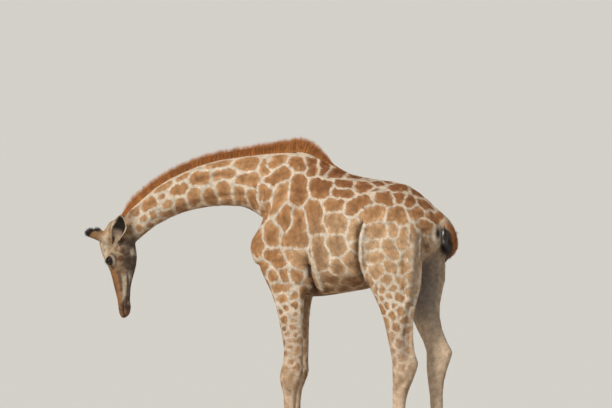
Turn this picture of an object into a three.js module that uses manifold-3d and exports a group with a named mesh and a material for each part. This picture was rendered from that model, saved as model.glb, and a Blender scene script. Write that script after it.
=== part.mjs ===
// A young female giraffe at life size, as a still model: it stands on four legs, its neck arched
// forward and its head hanging, as when a giraffe noses along low bushes.
// Millimetres, +Z up. It faces -X, so its left side is -Y. The hooves stand on z = 0, and the origin
// is on the floor under the middle of the model's box.
import * as THREE from "three";
import { mergeVertices } from "three/addons/utils/BufferGeometryUtils.js";
import Module from "manifold-3d";

const wasm = await Module();
wasm.setup();

// ---- Driving dimensions -------------------------------------------------------------------------
const WITHERS = 2515; // height of the skin over the shoulders
const BELLY = 1440; // lowest line of the trunk
const HEAD_LENGTH = 690; // poll to lips
const MANE_HEIGHT = 76; // upright hair along the crest
const MANE_THICKNESS = 21; // half of it, at the roots
const EYE_RADIUS = 25;
const OSSICONE_LENGTH = 140;
const EAR_LENGTH = 226;
const EAR_THICKNESS = 7;
const HOOF_HEIGHT = 84; // at the front of the coronet
const SAW_CUT = 1; // gap between neighbouring nodes
const SIDES = { left: -1, right: 1 };

// Where each hoof stands. The right legs stand off from the left ones by the steps given here: the
// right foreleg is set forward, and the right hock is further back and higher.
const FORE_FOOT = -440;
const FORE_STEP = { left: 0, right: -78 };
const HIND_FOOT = 420;
const HIND_STEP = {
  left: { foot: 0, back: 0, rise: 0 },
  right: { foot: 192, back: 138, rise: 66 },
};
const SPREAD = { fore: 142, hind: 152 }; // from the middle of the body to the middle of a foot

// ---- Solids from sections -----------------------------------------------------------------------
const vec = (p) => new THREE.Vector3(...p);

// A closed three.js geometry as a solid that can be joined and cut.
function solidOf(geometry) {
  const bare = geometry.index ? geometry.toNonIndexed() : geometry.clone();
  for (const name of Object.keys(bare.attributes)) {
    if (name !== "position") bare.deleteAttribute(name);
  }
  const merged = mergeVertices(bare, 1e-3);
  return new wasm.Manifold(
    new wasm.Mesh({
      numProp: 3,
      vertProperties: merged.attributes.position.array,
      triVerts: new Uint32Array(merged.index.array),
    }),
  );
}

// One smooth run of body: sections across a path, each with its half widths and its squareness.
// A station is { at: [x, y, z], side, plus, minus, square: [plus, minus] }: side is the half width,
// plus and minus the half depths towards and away from `face`. Squareness 2 is an ellipse, less is
// a ridge and more is a box. The sections stand square to the path, or to `axis` where it is given.
class Run {
  constructor(face, stations, axis = null) {
    this.face = vec(face);
    this.axis = axis && vec(axis);
    const curve = (rows) => new THREE.CatmullRomCurve3(rows.map(vec), false, "centripetal");
    this.path = curve(stations.map((s) => s.at));
    this.girth = curve(stations.map((s) => [s.side, s.plus, s.minus]));
    this.square = curve(stations.map((s) => [...(s.square ?? [2, 2]), 0]));
  }

  // The frame and sizes at t, from 0 to 1 along the stations.
  section(t) {
    const centre = this.path.getPoint(t);
    const along = this.axis?.clone() ?? this.path.getTangent(t);
    const plus = this.face.clone().addScaledVector(along, -this.face.dot(along)).normalize();
    const side = plus.clone().cross(along);
    return { centre, along, plus, side, size: this.girth.getPoint(t), square: this.square.getPoint(t) };
  }

  // A point of the surface: angle 0 is the side, 90 degrees the face.
  point(t, angle, grow = 0, share = 1) {
    const { centre, plus, side, size, square } = this.section(t);
    const [c, s] = [Math.cos(angle), Math.sin(angle)];
    const power = 2 / (s > 0 ? square.x : square.y);
    const depth = (s > 0 ? size.y : size.z) + grow;
    const across = share * (size.x + grow) * Math.sign(c) * Math.abs(c) ** power;
    const out = share * depth * Math.sign(s) * Math.abs(s) ** power;
    return centre.addScaledVector(side, across).addScaledVector(plus, out);
  }

  // The closed solid. Each end is rounded off over `dome` millimetres, or flat where that is 0.
  solid({ sides, rings, dome = [0, 0], grow = 0 }) {
    const DOME_RINGS = [0.5, 0.85];
    const rows = [];
    const ring = (t, share, push) => {
      const shift = this.section(t).along.multiplyScalar(push);
      const row = [];
      for (let k = 0; k < sides; k++) {
        row.push(this.point(t, (2 * Math.PI * k) / sides, grow, share).add(shift));
      }
      rows.push(row);
    };
    if (dome[0]) for (const r of DOME_RINGS) ring(0, r, -dome[0] * Math.sqrt(1 - r * r) - grow);
    ring(0, 1, -grow);
    for (let i = 1; i < rings; i++) ring(i / rings, 1, 0);
    ring(1, 1, grow);
    if (dome[1]) for (const r of [...DOME_RINGS].reverse()) ring(1, r, dome[1] * Math.sqrt(1 - r * r) + grow);
    const tip = (t, push) => {
      const { centre, along } = this.section(t);
      return centre.addScaledVector(along, push);
    };
    return solidOf(stitched(rows, tip(0, -dome[0] - grow), tip(1, dome[1] + grow)));
  }
}

// Rows of points round a tube, closed at both ends by a point.
function stitched(rows, first, last) {
  const points = [...rows.flat(), first, last];
  const [n, sides] = [rows.length, rows[0].length];
  const index = [];
  for (let k = 0; k < sides; k++) {
    const next = (k + 1) % sides;
    for (let i = 0; i + 1 < n; i++) {
      const [a, b] = [i * sides, (i + 1) * sides];
      index.push(a + k, a + next, b + k, a + next, b + next, b + k);
    }
    index.push(n * sides, next, k);
    index.push(n * sides + 1, (n - 1) * sides + k, (n - 1) * sides + next);
  }
  return new THREE.BufferGeometry().setFromPoints(points).setIndex(index);
}

const joined = (solids) => solids.reduce((whole, s) => whole.add(s));

// The space on the far side of each plane, and a little more of it where gap is given.
function beyond(planes, gap = 0) {
  const SPACE = 9000;
  let space = solidOf(new THREE.BoxGeometry(SPACE, SPACE, SPACE));
  for (const { through, facing } of planes) {
    const n = vec(facing).normalize();
    space = space.trimByPlane(n.toArray(), n.dot(vec(through)) - gap);
  }
  return space;
}

// ---- Trunk --------------------------------------------------------------------------------------
// From the breast to the buttocks. The back falls from the withers to the croup.
function station(x, top, bottom, side, widest, square) {
  return { at: [x, 0, widest], side, plus: top - widest, minus: widest - bottom, square };
}

const trunkRun = new Run(
  [0, 0, 1],
  [
    station(-676, 1930, 1650, 96, 1800, [2.0, 2.0]), // breast
    station(-618, 2110, 1530, 160, 1790, [1.8, 2.1]),
    station(-510, 2350, BELLY + 20, 204, 1790, [1.6, 2.2]), // shoulders
    station(-390, WITHERS - 10, BELLY + 2, 226, 1790, [1.35, 2.3]), // withers
    station(-270, WITHERS - 42, BELLY, 240, 1800, [1.35, 2.3]),
    station(-150, 2404, BELLY + 12, 255, 1810, [1.55, 2.3]),
    station(0, 2332, BELLY + 38, 274, 1820, [1.9, 2.3]), // ribs
    station(150, 2298, BELLY + 66, 284, 1840, [2.0, 2.3]),
    station(300, 2281, BELLY + 112, 270, 1890, [1.85, 2.2]), // loin and flank
    station(440, 2256, BELLY + 165, 240, 1940, [1.7, 2.1]), // hips
    station(545, 2190, 1690, 200, 1945, [1.7, 2.0]),
    station(632, 2114, 1760, 148, 1930, [1.8, 2.0]),
    station(676, 2046, 1800, 92, 1920, [2.0, 2.0]), // buttocks
  ],
  [1, 0, 0],
);

// The shoulder blade and its muscles, flat against the ribs, down to the point of the shoulder.
function shoulderRun(sign) {
  const level = (x, out, z, side, plus, minus) => ({ at: [x, sign * out, z], side, plus, minus });
  return new Run(
    [-1, 0, 0],
    [
      level(-350, 58, 2340, 24, 80, 60),
      level(-385, 108, 2200, 46, 112, 100),
      level(-450, 138, 2020, 66, 135, 150),
      level(-530, 152, 1880, 74, 140, 190),
      level(-560, 150, 1800, 78, 144, 200),
      level(-540, 148, 1700, 78, 138, 190),
    ],
    [0, 0, -1],
  );
}

// ---- Legs ---------------------------------------------------------------------------------------
// A level section of a leg: its middle, its half width, and its half depths to the front and rear.
const legSection = (x, y, z, side, plus, minus, square) => ({ at: [x, y, z], side, plus, minus, square });
const DOWN = [0, 0, -1];

// A foreleg from inside the shoulder to the top of the hoof.
function forelegRun(sign, step) {
  const [SHOULDER_TOP, STEP_FADE] = [1750, 350]; // the step fades out up to the shoulder
  const at = (x, out, z, ...rest) => {
    const share = Math.min(1, (SHOULDER_TOP - z) / STEP_FADE);
    return legSection(x + step * Math.max(0, share), sign * (SPREAD.fore + out), z, ...rest);
  };
  return new Run(
    [-1, 0, 0],
    [
      at(-478, 14, 1740, 78, 178, 205, [2, 2]), // upper arm
      at(-452, 28, 1640, 78, 165, 184, [2, 2.1]),
      at(-425, 28, 1550, 70, 148, 155, [2, 2.2]), // elbow
      at(-402, 24, 1450, 62, 122, 126, [2, 2.2]),
      at(-388, 17, 1330, 55, 102, 100, [2.1, 2.1]), // forearm
      at(-380, 12, 1210, 50, 88, 88, [2.2, 2]),
      at(-371, 8, 1110, 47, 74, 75, [2.3, 2]),
      at(-370, 6, 1000, 48, 72, 72, [2.4, 2.1]),
      at(-378, 4, 935, 55, 84, 80, [2.5, 2.2]), // knee
      at(-387, 2, 870, 58, 88, 86, [2.6, 2.3]),
      at(-396, 1, 805, 51, 68, 68, [2.5, 2.3]),
      at(-398, 0, 745, 40, 48, 48, [2.4, 2.3]), // cannon
      at(-402, 0, 640, 35, 43, 43, [2.3, 2.4]),
      at(-406, 0, 400, 34, 41, 42, [2.2, 2.4]),
      at(-409, 0, 255, 39, 45, 49, [2.2, 2.3]),
      at(-412, 0, 188, 47, 50, 58, [2.2, 2.2]), // fetlock
      at(-422, 0, 130, 43, 44, 50, [2.3, 2.2]), // pastern
      at(FORE_FOOT + 6, 0, 88, 54, 58, 58, [2.5, 2.4]), // coronet
      at(FORE_FOOT, 0, 44, 60, 70, 62, [2.5, 2.5]),
    ],
    DOWN,
  );
}

// A hind leg from inside the hip to the top of the hoof. Each section above the hock follows the
// hock's step by a share that fades out at the hip.
function hindlegRun(sign, { foot, back, rise }) {
  const at = (share, x, out, z, ...rest) =>
    legSection(x + back * share, sign * (SPREAD.hind + out), z + rise * share, ...rest);
  const low = (share, x, z, ...rest) =>
    legSection(x + foot + (back - foot) * share, sign * SPREAD.hind, z + rise * share, ...rest);
  return new Run(
    [-1, 0, 0],
    [
      at(0, 440, -44, 2130, 40, 92, 92, [2, 2]), // hip
      at(0.1, 412, -8, 2000, 92, 172, 182, [2, 2]),
      at(0.26, 398, 18, 1855, 110, 228, 222, [2, 2.1]), // thigh
      at(0.3, 396, 24, 1720, 108, 230, 228, [2.1, 2.1]),
      at(0.36, 406, 20, 1600, 98, 222, 220, [2.1, 2]), // stifle
      at(0.42, 420, 14, 1500, 85, 184, 186, [2.1, 2]),
      at(0.48, 428, 9, 1405, 74, 146, 148, [2, 2]), // second thigh
      at(0.56, 436, 6, 1310, 64, 118, 120, [2.1, 1.9]),
      at(0.72, 448, 3, 1190, 55, 99, 102, [2.2, 1.7]),
      at(0.93, 464, 2, 1075, 51, 88, 97, [2.3, 1.6]),
      at(1.04, 482, 1, 990, 55, 90, 108, [2.5, 1.7]), // hock
      at(1.04, 479, 0, 930, 56, 86, 92, [2.5, 1.9]),
      low(0.9, 468, 862, 50, 74, 74, [2.4, 2.1]),
      low(0.7, 450, 780, 41, 56, 57, [2.3, 2.2]), // cannon
      low(0.4, 438, 680, 36, 44, 46, [2.3, 2.3]),
      low(0.1, 434, 400, 34, 41, 42, [2.2, 2.3]),
      low(0, 432, 255, 39, 45, 49, [2.2, 2.3]),
      low(0, 432, 188, 46, 49, 58, [2.2, 2.2]), // fetlock
      low(0, HIND_FOOT + 14, 130, 42, 43, 50, [2.3, 2.2]), // pastern
      low(0, HIND_FOOT + 6, 88, 53, 58, 58, [2.5, 2.4]), // coronet
      low(0, HIND_FOOT, 44, 59, 70, 62, [2.5, 2.5]),
    ],
    DOWN,
  );
}

// ---- Neck, head and tail ------------------------------------------------------------------------
const neckRun = new Run(
  [-0.4, 0, 0.9],
  [
    { at: [-400, 0, 2120], side: 150, plus: 370, minus: 300, square: [1.5, 2] }, // inside the chest
    { at: [-500, 0, 2190], side: 146, plus: 312, minus: 262, square: [1.6, 2] },
    { at: [-610, 0, 2226], side: 132, plus: 258, minus: 232, square: [1.8, 2] }, // base
    { at: [-715, 0, 2248], side: 116, plus: 216, minus: 200, square: [2, 2] },
    { at: [-827, 0, 2259], side: 104, plus: 184, minus: 180, square: [2.1, 2.1] },
    { at: [-1055, 0, 2238], side: 92, plus: 163, minus: 160, square: [2.2, 2.2] }, // middle
    { at: [-1255, 0, 2183], side: 84, plus: 142, minus: 139, square: [2.2, 2.2] },
    { at: [-1393, 0, 2128], side: 78, plus: 131, minus: 128, square: [2.2, 2.2] },
    { at: [-1574, 0, 2015], side: 72, plus: 108, minus: 105, square: [2.2, 2.2] },
    { at: [-1670, 0, 1935], side: 70, plus: 101, minus: 99, square: [2.2, 2.2] }, // behind the ears
    { at: [-1742, 0, 1862], side: 66, plus: 94, minus: 88, square: [2.2, 2.2] }, // inside the head
  ],
);

// The head's own frame: down its length from the poll to the lips, and out through the forehead.
const POLL = vec([-1800, 0, 1945]);
const FACE_TILT = 4.3; // degrees that the lips hang behind the poll
const lengthwise = new THREE.Vector3(0, 0, -1).applyAxisAngle(
  vec([0, 1, 0]),
  THREE.MathUtils.degToRad(-FACE_TILT),
);
const forehead = new THREE.Vector3(0, 1, 0).cross(lengthwise);
const inHead = (share, out, y = 0) =>
  POLL.clone().addScaledVector(lengthwise, share * HEAD_LENGTH).addScaledVector(forehead, out).setY(y);
const headStation = (share, side, plus, minus, square) => ({
  at: inHead(share, 0).toArray(),
  side,
  plus,
  minus,
  square,
});

const headRun = new Run(forehead.toArray(), [
  headStation(0.0, 56, 78, 70, [2.2, 2]), // poll
  headStation(0.09, 72, 128, 98, [2.1, 2]),
  headStation(0.17, 78, 156, 116, [2.1, 2]), // forehead
  headStation(0.26, 84, 150, 120, [2.2, 1.9]),
  headStation(0.34, 84, 130, 126, [2.4, 1.8]), // brow and jaw angle
  headStation(0.42, 80, 104, 120, [2.5, 1.8]), // eyes
  headStation(0.5, 67, 86, 104, [2.3, 1.8]),
  headStation(0.58, 57, 75, 82, [2.1, 1.9]), // cheeks
  headStation(0.66, 49, 66, 62, [2.1, 1.9]), // bridge of the nose
  headStation(0.75, 43, 53, 52, [2.2, 2]),
  headStation(0.83, 43, 42, 50, [2.4, 2.2]),
  headStation(0.9, 46, 36, 44, [2.5, 2.3]), // nostrils
  headStation(0.955, 43, 31, 26, [2.4, 2.2]), // lips
]);

// A mound of bone round each eye.
function orbit(sign, grow = 0) {
  const mound = new THREE.SphereGeometry(1, 12, 8).scale(46 + grow, 37 + grow, 54 + grow);
  return solidOf(mound.translate(...inHead(0.365, 48, sign * 74)));
}

const tailRun = new Run(
  [1, 0, 0.4],
  [
    { at: [590, 0, 2080], side: 50, plus: 50, minus: 50 },
    { at: [665, 4, 2040], side: 42, plus: 42, minus: 42 },
    { at: [728, 16, 1980], side: 35, plus: 35, minus: 35 },
    { at: [764, 44, 1905], side: 31, plus: 31, minus: 31 },
    { at: [760, 96, 1832], side: 29, plus: 29, minus: 29 },
    { at: [712, 174, 1775], side: 27, plus: 27, minus: 27 },
    { at: [640, 256, 1735], side: 25, plus: 25, minus: 25 },
    { at: [566, 318, 1672], side: 24, plus: 24, minus: 24 },
    { at: [526, 340, 1565], side: 22, plus: 22, minus: 22 },
    { at: [518, 344, 1470], side: 20, plus: 20, minus: 20 }, // end of the tail's flesh
  ],
);

const tuftRun = new Run(
  [1, 0, 0],
  [
    { at: [518, 344, 1467], side: 22, plus: 22, minus: 22 },
    { at: [514, 346, 1400], side: 33, plus: 35, minus: 33 },
    { at: [512, 347, 1280], side: 40, plus: 43, minus: 40 },
    { at: [512, 346, 1140], side: 30, plus: 34, minus: 30 },
    { at: [514, 344, 1040], side: 8, plus: 9, minus: 8 },
  ],
);

// ---- The whole body, grown by a little where something sits on it ---------------------------------
function flesh(grow = 0) {
  const parts = [
    trunkRun.solid({ sides: 20, rings: 16, dome: [30, 22], grow }),
    neckRun.solid({ sides: 16, rings: 15, grow }),
    headRun.solid({ sides: 16, rings: 16, dome: [30, 24], grow }),
  ];
  for (const [name, sign] of Object.entries(SIDES)) {
    parts.push(shoulderRun(sign).solid({ sides: 12, rings: 6, dome: [40, 40], grow }));
    parts.push(forelegRun(sign, FORE_STEP[name]).solid({ sides: 12, rings: 20, grow }));
    parts.push(hindlegRun(sign, HIND_STEP[name]).solid({ sides: 12, rings: 22, grow }));
    parts.push(orbit(sign, grow));
  }
  return joined(parts);
}

// ---- Hooves, eyes, ears, ossicones and mane -------------------------------------------------------
// A hoof is two claws. Their tops slope from the coronet's front down to the heel.
const CLEFT = 5; // half of the gap between the claws
const footOf = (end, name) =>
  end === "fore" ? FORE_FOOT + FORE_STEP[name] : HIND_FOOT + HIND_STEP[name].foot;
const coronetPlane = (foot) => ({ through: [foot - 60, 0, HOOF_HEIGHT], facing: [0.24, 0, 1] });

function claw(sign, foot, spread, inOut) {
  const row = (x, z, side, plus, minus) =>
    legSection(foot + x, sign * (spread + inOut * 33), z, side, plus, minus, [2.4, 2.6]);
  const run = new Run(
    [-1, 0, 0],
    [
      row(2, 110, 26, 56, 56),
      row(-3, 70, 28, 69, 60),
      row(-10, 28, 29, 84, 62),
      row(-13, 0, 29, 90, 62),
      row(-14, -20, 29, 90, 62),
    ],
    DOWN,
  );
  const { through, facing } = coronetPlane(foot);
  const bounds = [
    { through, facing: facing.map((n) => -n) },
    { through: [0, sign * (spread + inOut * CLEFT), 0], facing: [0, sign * inOut, 0] },
    { through: [0, 0, 0], facing: [0, 0, 1] },
  ];
  return run.solid({ sides: 10, rings: 4 }).intersect(beyond(bounds));
}

function eyeball(sign, radius = EYE_RADIUS) {
  const at = inHead(0.382, 48, sign * 92);
  return solidOf(new THREE.SphereGeometry(radius, 14, 8).translate(...at));
}

// A horn-like knob of bone under skin, with the brush of hair on its tip.
function ossicone(sign) {
  const LEAN_BACK = 0.4;
  const SPLAY = 0.16;
  const profile = [
    [0, -40],
    [40, -40],
    [31, 10],
    [22, 45],
    [17.5, 85],
    [20, 108],
    [19, OSSICONE_LENGTH - 14],
    [11, OSSICONE_LENGTH - 3],
    [0, OSSICONE_LENGTH],
  ].map(([r, h]) => new THREE.Vector2(r, h));
  const way = forehead.clone().addScaledVector(lengthwise, -LEAN_BACK).add(vec([0, sign * SPLAY, 0]));
  const turn = new THREE.Quaternion().setFromUnitVectors(vec([0, 1, 0]), way.normalize());
  const rod = new THREE.LatheGeometry(profile, 10).applyQuaternion(turn);
  return solidOf(rod.translate(...inHead(0.14, 106, sign * 44)));
}

// A leaf of skin and gristle, rolled into a tube at its root and open to the side.
function ear(sign) {
  const [ROWS, COLUMNS] = [8, 6];
  const root = inHead(0.172, -10, sign * 72);
  const up = vec([0.34, sign * 0.46, 0.82]).normalize();
  const open = vec([-0.1, sign, 0]);
  open.addScaledVector(up, -open.dot(up)).normalize();
  const across = up.clone().cross(open);
  const layer = (inset) => {
    const rows = [];
    for (let i = 0; i <= ROWS; i++) {
      const t = i / ROWS;
      const half = 5 + 71 * Math.sin(Math.PI * (0.22 + 0.78 * t)) ** 0.75; // half the breadth, unrolled
      const roll = 0.75 + 1.55 * Math.max(0, 1 - 1.7 * t); // half the angle that it is rolled through
      const radius = half / roll;
      const thick = EAR_THICKNESS * (1 - 0.55 * t);
      const row = [];
      for (let j = 0; j <= COLUMNS; j++) {
        const angle = roll * ((2 * j) / COLUMNS - 1);
        const r = radius - inset * thick;
        const p = root.clone().addScaledVector(up, t * EAR_LENGTH);
        p.addScaledVector(across, r * Math.sin(angle));
        row.push(p.addScaledVector(open, radius * 0.6 - r * Math.cos(angle)));
      }
      rows.push(row);
    }
    return rows;
  };
  return solidOf(sheetBetween(layer(0), layer(1)));
}

// A closed solid between two grids of points of the same size.
function sheetBetween(outer, inner) {
  const [n, m] = [outer.length, outer[0].length];
  const at = (layer, i, j) => layer * n * m + i * m + j;
  const index = [];
  const quad = (a, b, c, d) => index.push(a, c, b, a, d, c);
  for (let i = 0; i + 1 < n; i++) {
    for (let j = 0; j + 1 < m; j++) {
      quad(at(0, i, j), at(0, i, j + 1), at(0, i + 1, j + 1), at(0, i + 1, j));
      quad(at(1, i, j), at(1, i + 1, j), at(1, i + 1, j + 1), at(1, i, j + 1));
    }
    quad(at(0, i, 0), at(0, i + 1, 0), at(1, i + 1, 0), at(1, i, 0));
    quad(at(0, i, m - 1), at(1, i, m - 1), at(1, i + 1, m - 1), at(0, i + 1, m - 1));
  }
  for (let j = 0; j + 1 < m; j++) {
    quad(at(0, 0, j), at(1, 0, j), at(1, 0, j + 1), at(0, 0, j + 1));
    quad(at(0, n - 1, j), at(0, n - 1, j + 1), at(1, n - 1, j + 1), at(1, n - 1, j));
  }
  const geometry = new THREE.BufferGeometry().setFromPoints([...outer.flat(), ...inner.flat()]);
  return geometry.setIndex(index);
}

// The mane: an upright blade of hair from between the ears to behind the withers.
function mane() {
  const stations = [];
  const add = (point, height, half) =>
    stations.push({ at: point.toArray(), side: half, plus: height, minus: 24, square: [1.5, 2] });
  const crest = (run, t) => run.point(t, Math.PI / 2);
  add(crest(headRun, 0.02), MANE_HEIGHT * 0.35, MANE_THICKNESS * 0.6);
  for (const t of [0.88, 0.8, 0.7, 0.6, 0.5, 0.4, 0.3, 0.2]) {
    add(crest(neckRun, t), MANE_HEIGHT, MANE_THICKNESS);
  }
  add(crest(trunkRun, 0.25), MANE_HEIGHT * 1.05, MANE_THICKNESS * 1.3);
  add(crest(trunkRun, 0.29), MANE_HEIGHT, MANE_THICKNESS * 1.4);
  add(crest(trunkRun, 0.333), MANE_HEIGHT * 0.74, MANE_THICKNESS * 1.3);
  add(crest(trunkRun, 0.375), MANE_HEIGHT * 0.42, MANE_THICKNESS);
  add(crest(trunkRun, 0.415), MANE_HEIGHT * 0.14, MANE_THICKNESS * 0.8);
  add(crest(trunkRun, 0.45), MANE_HEIGHT * 0.05, MANE_THICKNESS * 0.6);
  return new Run([-0.2, 0, 1], stations).solid({ sides: 8, rings: 20, dome: [6, 6] });
}

// ---- Cutting the body into its named parts --------------------------------------------------------
const INSEAM = 62; // from the middle of the body to where a leg is cut from it
const BEHIND_ELBOW = -256;
const FRONT_OF_STIFLE = 176;
const cuts = {
  head: [
    { through: [-1690, 0, 1858], facing: [-0.62, 0, -0.78] },
    { through: [-1450, 0, 0], facing: [-1, 0, 0] }, // keeps the cut off the legs and the trunk
  ],
  neck: [{ through: [-560, 0, 2200], facing: [-0.9, 0, 0.43] }],
};
for (const [name, sign] of Object.entries(SIDES)) {
  const inside = { through: [0, sign * INSEAM, 0], facing: [0, sign, 0] };
  cuts["foreleg_" + name] = [
    { through: [0, sign * INSEAM, BELLY + 20], facing: [0, sign * 0.9, -1] },
    { through: [BEHIND_ELBOW, 0, 0], facing: [-1, 0, 0] },
    inside,
  ];
  cuts["hindleg_" + name] = [
    { through: [0, sign * INSEAM, BELLY + 60], facing: [0, sign * 1.2, -1] },
    { through: [FRONT_OF_STIFLE, 0, 0], facing: [1, 0, 0] },
    inside,
  ];
}

const giraffe = new THREE.Group();

const looks = {
  coat: { color: "#c79a6b", roughness: 0.85 },
  mane: { color: "#a4541f", roughness: 0.8 },
  black_hair: { color: "#1d1714", roughness: 0.75 },
  ear: { color: "#cdb499", roughness: 0.85 },
  horn: { color: "#4a3a30", roughness: 0.55 },
  eye: { color: "#120c09", roughness: 0.12 },
};

function addNode(name, look, solid) {
  const { numProp, vertProperties, triVerts } = solid.getMesh();
  const geometry = new THREE.BufferGeometry();
  geometry.setAttribute("position", new THREE.BufferAttribute(vertProperties, numProp));
  geometry.setIndex(new THREE.BufferAttribute(triVerts, 1));
  const material = new THREE.MeshStandardMaterial({ metalness: 0, ...looks[look] });
  const mesh = new THREE.Mesh(geometry, material);
  mesh.name = name;
  giraffe.add(mesh);
}

const skinWithGap = flesh(SAW_CUT);
const sockets = Object.values(SIDES).map((sign) => eyeball(sign, EYE_RADIUS + SAW_CUT));
let rest = flesh().subtract(joined(sockets));

for (const [name, planes] of Object.entries(cuts)) {
  let piece = rest.intersect(beyond(planes));
  rest = rest.subtract(beyond(planes, SAW_CUT));
  const [leg, side] = name.split("leg_");
  if (side) piece = piece.intersect(beyond([coronetPlane(footOf(leg, side))], -SAW_CUT));
  addNode(name, "coat", piece);
}
addNode("trunk", "coat", rest);
addNode("mane", "mane", mane().subtract(skinWithGap));
addNode("tail", "coat", tailRun.solid({ sides: 9, rings: 15 }).subtract(skinWithGap));
addNode("tail_tuft", "black_hair", tuftRun.solid({ sides: 10, rings: 8 }));

for (const [name, sign] of Object.entries(SIDES)) {
  addNode("eye_" + name, "eye", eyeball(sign));
  addNode("ossicone_" + name, "coat", ossicone(sign).subtract(skinWithGap));
  addNode("ear_" + name, "ear", ear(sign).subtract(skinWithGap));
  for (const end of ["fore", "hind"]) {
    for (const [place, inOut] of [["outer", 1], ["inner", -1]]) {
      addNode(`hoof_${end}_${name}_${place}`, "horn", claw(sign, footOf(end, name), SPREAD[end], inOut));
    }
  }
}

// The origin goes on the floor under the middle of the whole model.
const middle = new THREE.Box3().setFromObject(giraffe).getCenter(new THREE.Vector3());
giraffe.position.set(-middle.x, -middle.y, 0);

export default giraffe;
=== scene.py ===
# %% [markdown]
# # A young giraffe, as a still life-size model
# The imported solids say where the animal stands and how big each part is. This notebook turns them
# into a giraffe: one skin over the flesh, its markings, the hair that stands out of it, the mane, the
# eyes and the hooves. Every piece is made at its place, in metres, with +Z up.

# %% Load the frame
import bmesh
import bpy
import math
import numpy as np
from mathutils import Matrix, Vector
from mathutils.bvhtree import BVHTree
from mathutils.kdtree import KDTree


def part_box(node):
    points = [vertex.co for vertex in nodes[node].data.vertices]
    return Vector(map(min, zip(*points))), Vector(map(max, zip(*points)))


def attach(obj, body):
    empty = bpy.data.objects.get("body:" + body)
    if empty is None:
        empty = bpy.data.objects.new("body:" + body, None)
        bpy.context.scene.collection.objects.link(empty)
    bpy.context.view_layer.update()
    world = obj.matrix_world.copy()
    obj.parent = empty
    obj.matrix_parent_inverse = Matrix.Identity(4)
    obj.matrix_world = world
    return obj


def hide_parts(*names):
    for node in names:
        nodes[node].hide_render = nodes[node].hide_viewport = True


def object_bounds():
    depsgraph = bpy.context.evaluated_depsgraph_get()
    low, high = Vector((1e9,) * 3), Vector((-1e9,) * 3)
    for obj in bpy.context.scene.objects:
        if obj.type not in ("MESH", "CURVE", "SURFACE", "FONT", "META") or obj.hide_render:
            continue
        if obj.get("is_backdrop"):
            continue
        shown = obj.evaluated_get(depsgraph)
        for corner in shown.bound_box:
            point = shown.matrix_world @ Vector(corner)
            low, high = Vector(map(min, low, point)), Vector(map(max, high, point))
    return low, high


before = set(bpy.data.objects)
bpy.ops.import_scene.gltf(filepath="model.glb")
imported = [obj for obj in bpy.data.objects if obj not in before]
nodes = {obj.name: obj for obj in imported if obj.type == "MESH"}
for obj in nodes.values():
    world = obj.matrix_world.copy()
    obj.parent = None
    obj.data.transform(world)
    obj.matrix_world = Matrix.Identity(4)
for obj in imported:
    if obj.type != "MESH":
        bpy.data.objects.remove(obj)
solid_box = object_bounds()
SIDES = {"left": -1, "right": 1}
rng = np.random.default_rng(22)
print(len(nodes), "solids in a box", [[round(v, 3) for v in corner] for corner in solid_box])

# %% [markdown]
# ## The animal's own frame
# Places on an animal are easiest to name from its own landmarks. Here x runs from the middle of the
# trunk towards the tail, y from the middle plane to the right side and z up from the floor. The middle
# plane lies between the two eyes. The head has a frame of its own, because it hangs at an angle: a
# share of its length from the poll to the lips, and a distance out through the forehead.

# %% Landmarks


def middle_of(node):
    low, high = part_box(node)
    return (low + high) / 2


EYES = (middle_of("eye_left") + middle_of("eye_right")) / 2
ORIGIN = np.array([middle_of("trunk").x + 0.004, EYES.y, 0.0])
HEAD_LENGTH = 0.69
EYE_RADIUS = (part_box("eye_left")[1].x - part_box("eye_left")[0].x) / 2
FACE_TILT = math.radians(4.3)
lengthwise = np.array([math.sin(FACE_TILT), 0.0, -math.cos(FACE_TILT)])
forehead = np.array([-math.cos(FACE_TILT), 0.0, -math.sin(FACE_TILT)])
EYE_SHARE = 0.382
EYE_OUT = 0.048
POLL = np.array(EYES) - lengthwise * EYE_SHARE * HEAD_LENGTH - forehead * EYE_OUT
print("origin", ORIGIN.round(4), "poll", POLL.round(4), "eye radius", round(EYE_RADIUS, 4))


def on_body(x, y, z):
    return ORIGIN + np.array([x, y, z])


def in_head(share, out, y=0.0):
    return POLL + lengthwise * share * HEAD_LENGTH + forehead * out + np.array([0.0, y, 0.0])


# %% [markdown]
# ## Camera
# A giraffe is watched from far off through a long lens, so near and far legs look the same size. The
# camera stands 45 m away, a little behind the animal's left side.

# %% Camera
VIEW_AZIMUTH = math.radians(22)
VIEW_HEIGHT = math.radians(2)
VIEW_DISTANCE = 45.0
LENS = 370.6  # mm, on a sensor 36 mm wide
towards_camera = Vector(
    (
        math.sin(VIEW_AZIMUTH) * math.cos(VIEW_HEIGHT),
        -math.cos(VIEW_AZIMUTH) * math.cos(VIEW_HEIGHT),
        math.sin(VIEW_HEIGHT),
    )
)
aim = Vector(on_body(-0.286, -0.118, 2.11))
camera = bpy.data.objects.new("camera", bpy.data.cameras.new("camera"))
camera.location = aim + towards_camera * VIEW_DISTANCE
camera.rotation_euler = towards_camera.to_track_quat("Z", "Y").to_euler()
camera.data.lens = LENS
camera.data.clip_end = 5000
bpy.context.scene.collection.objects.link(camera)
bpy.context.scene.camera = camera
bpy.context.scene.view_settings.view_transform = "Standard"
print("camera", [round(v, 3) for v in camera.location])

# %% [markdown]
# ## Colours and nodes
# Colours are written as sRGB hex codes and turned into the linear numbers that a shader works in. One
# small function adds a node of any kind, so that each material and each tree of nodes below reads as a
# list of what it is made of.


# %% Colours and nodes
def linear(code):
    """An sRGB hex colour as linear red, green, blue and alpha."""
    parts = [int(code[i : i + 2], 16) / 255 for i in (1, 3, 5)]
    return (*(p / 12.92 if p < 0.04045 else ((p + 0.055) / 1.055) ** 2.4 for p in parts), 1.0)


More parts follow.
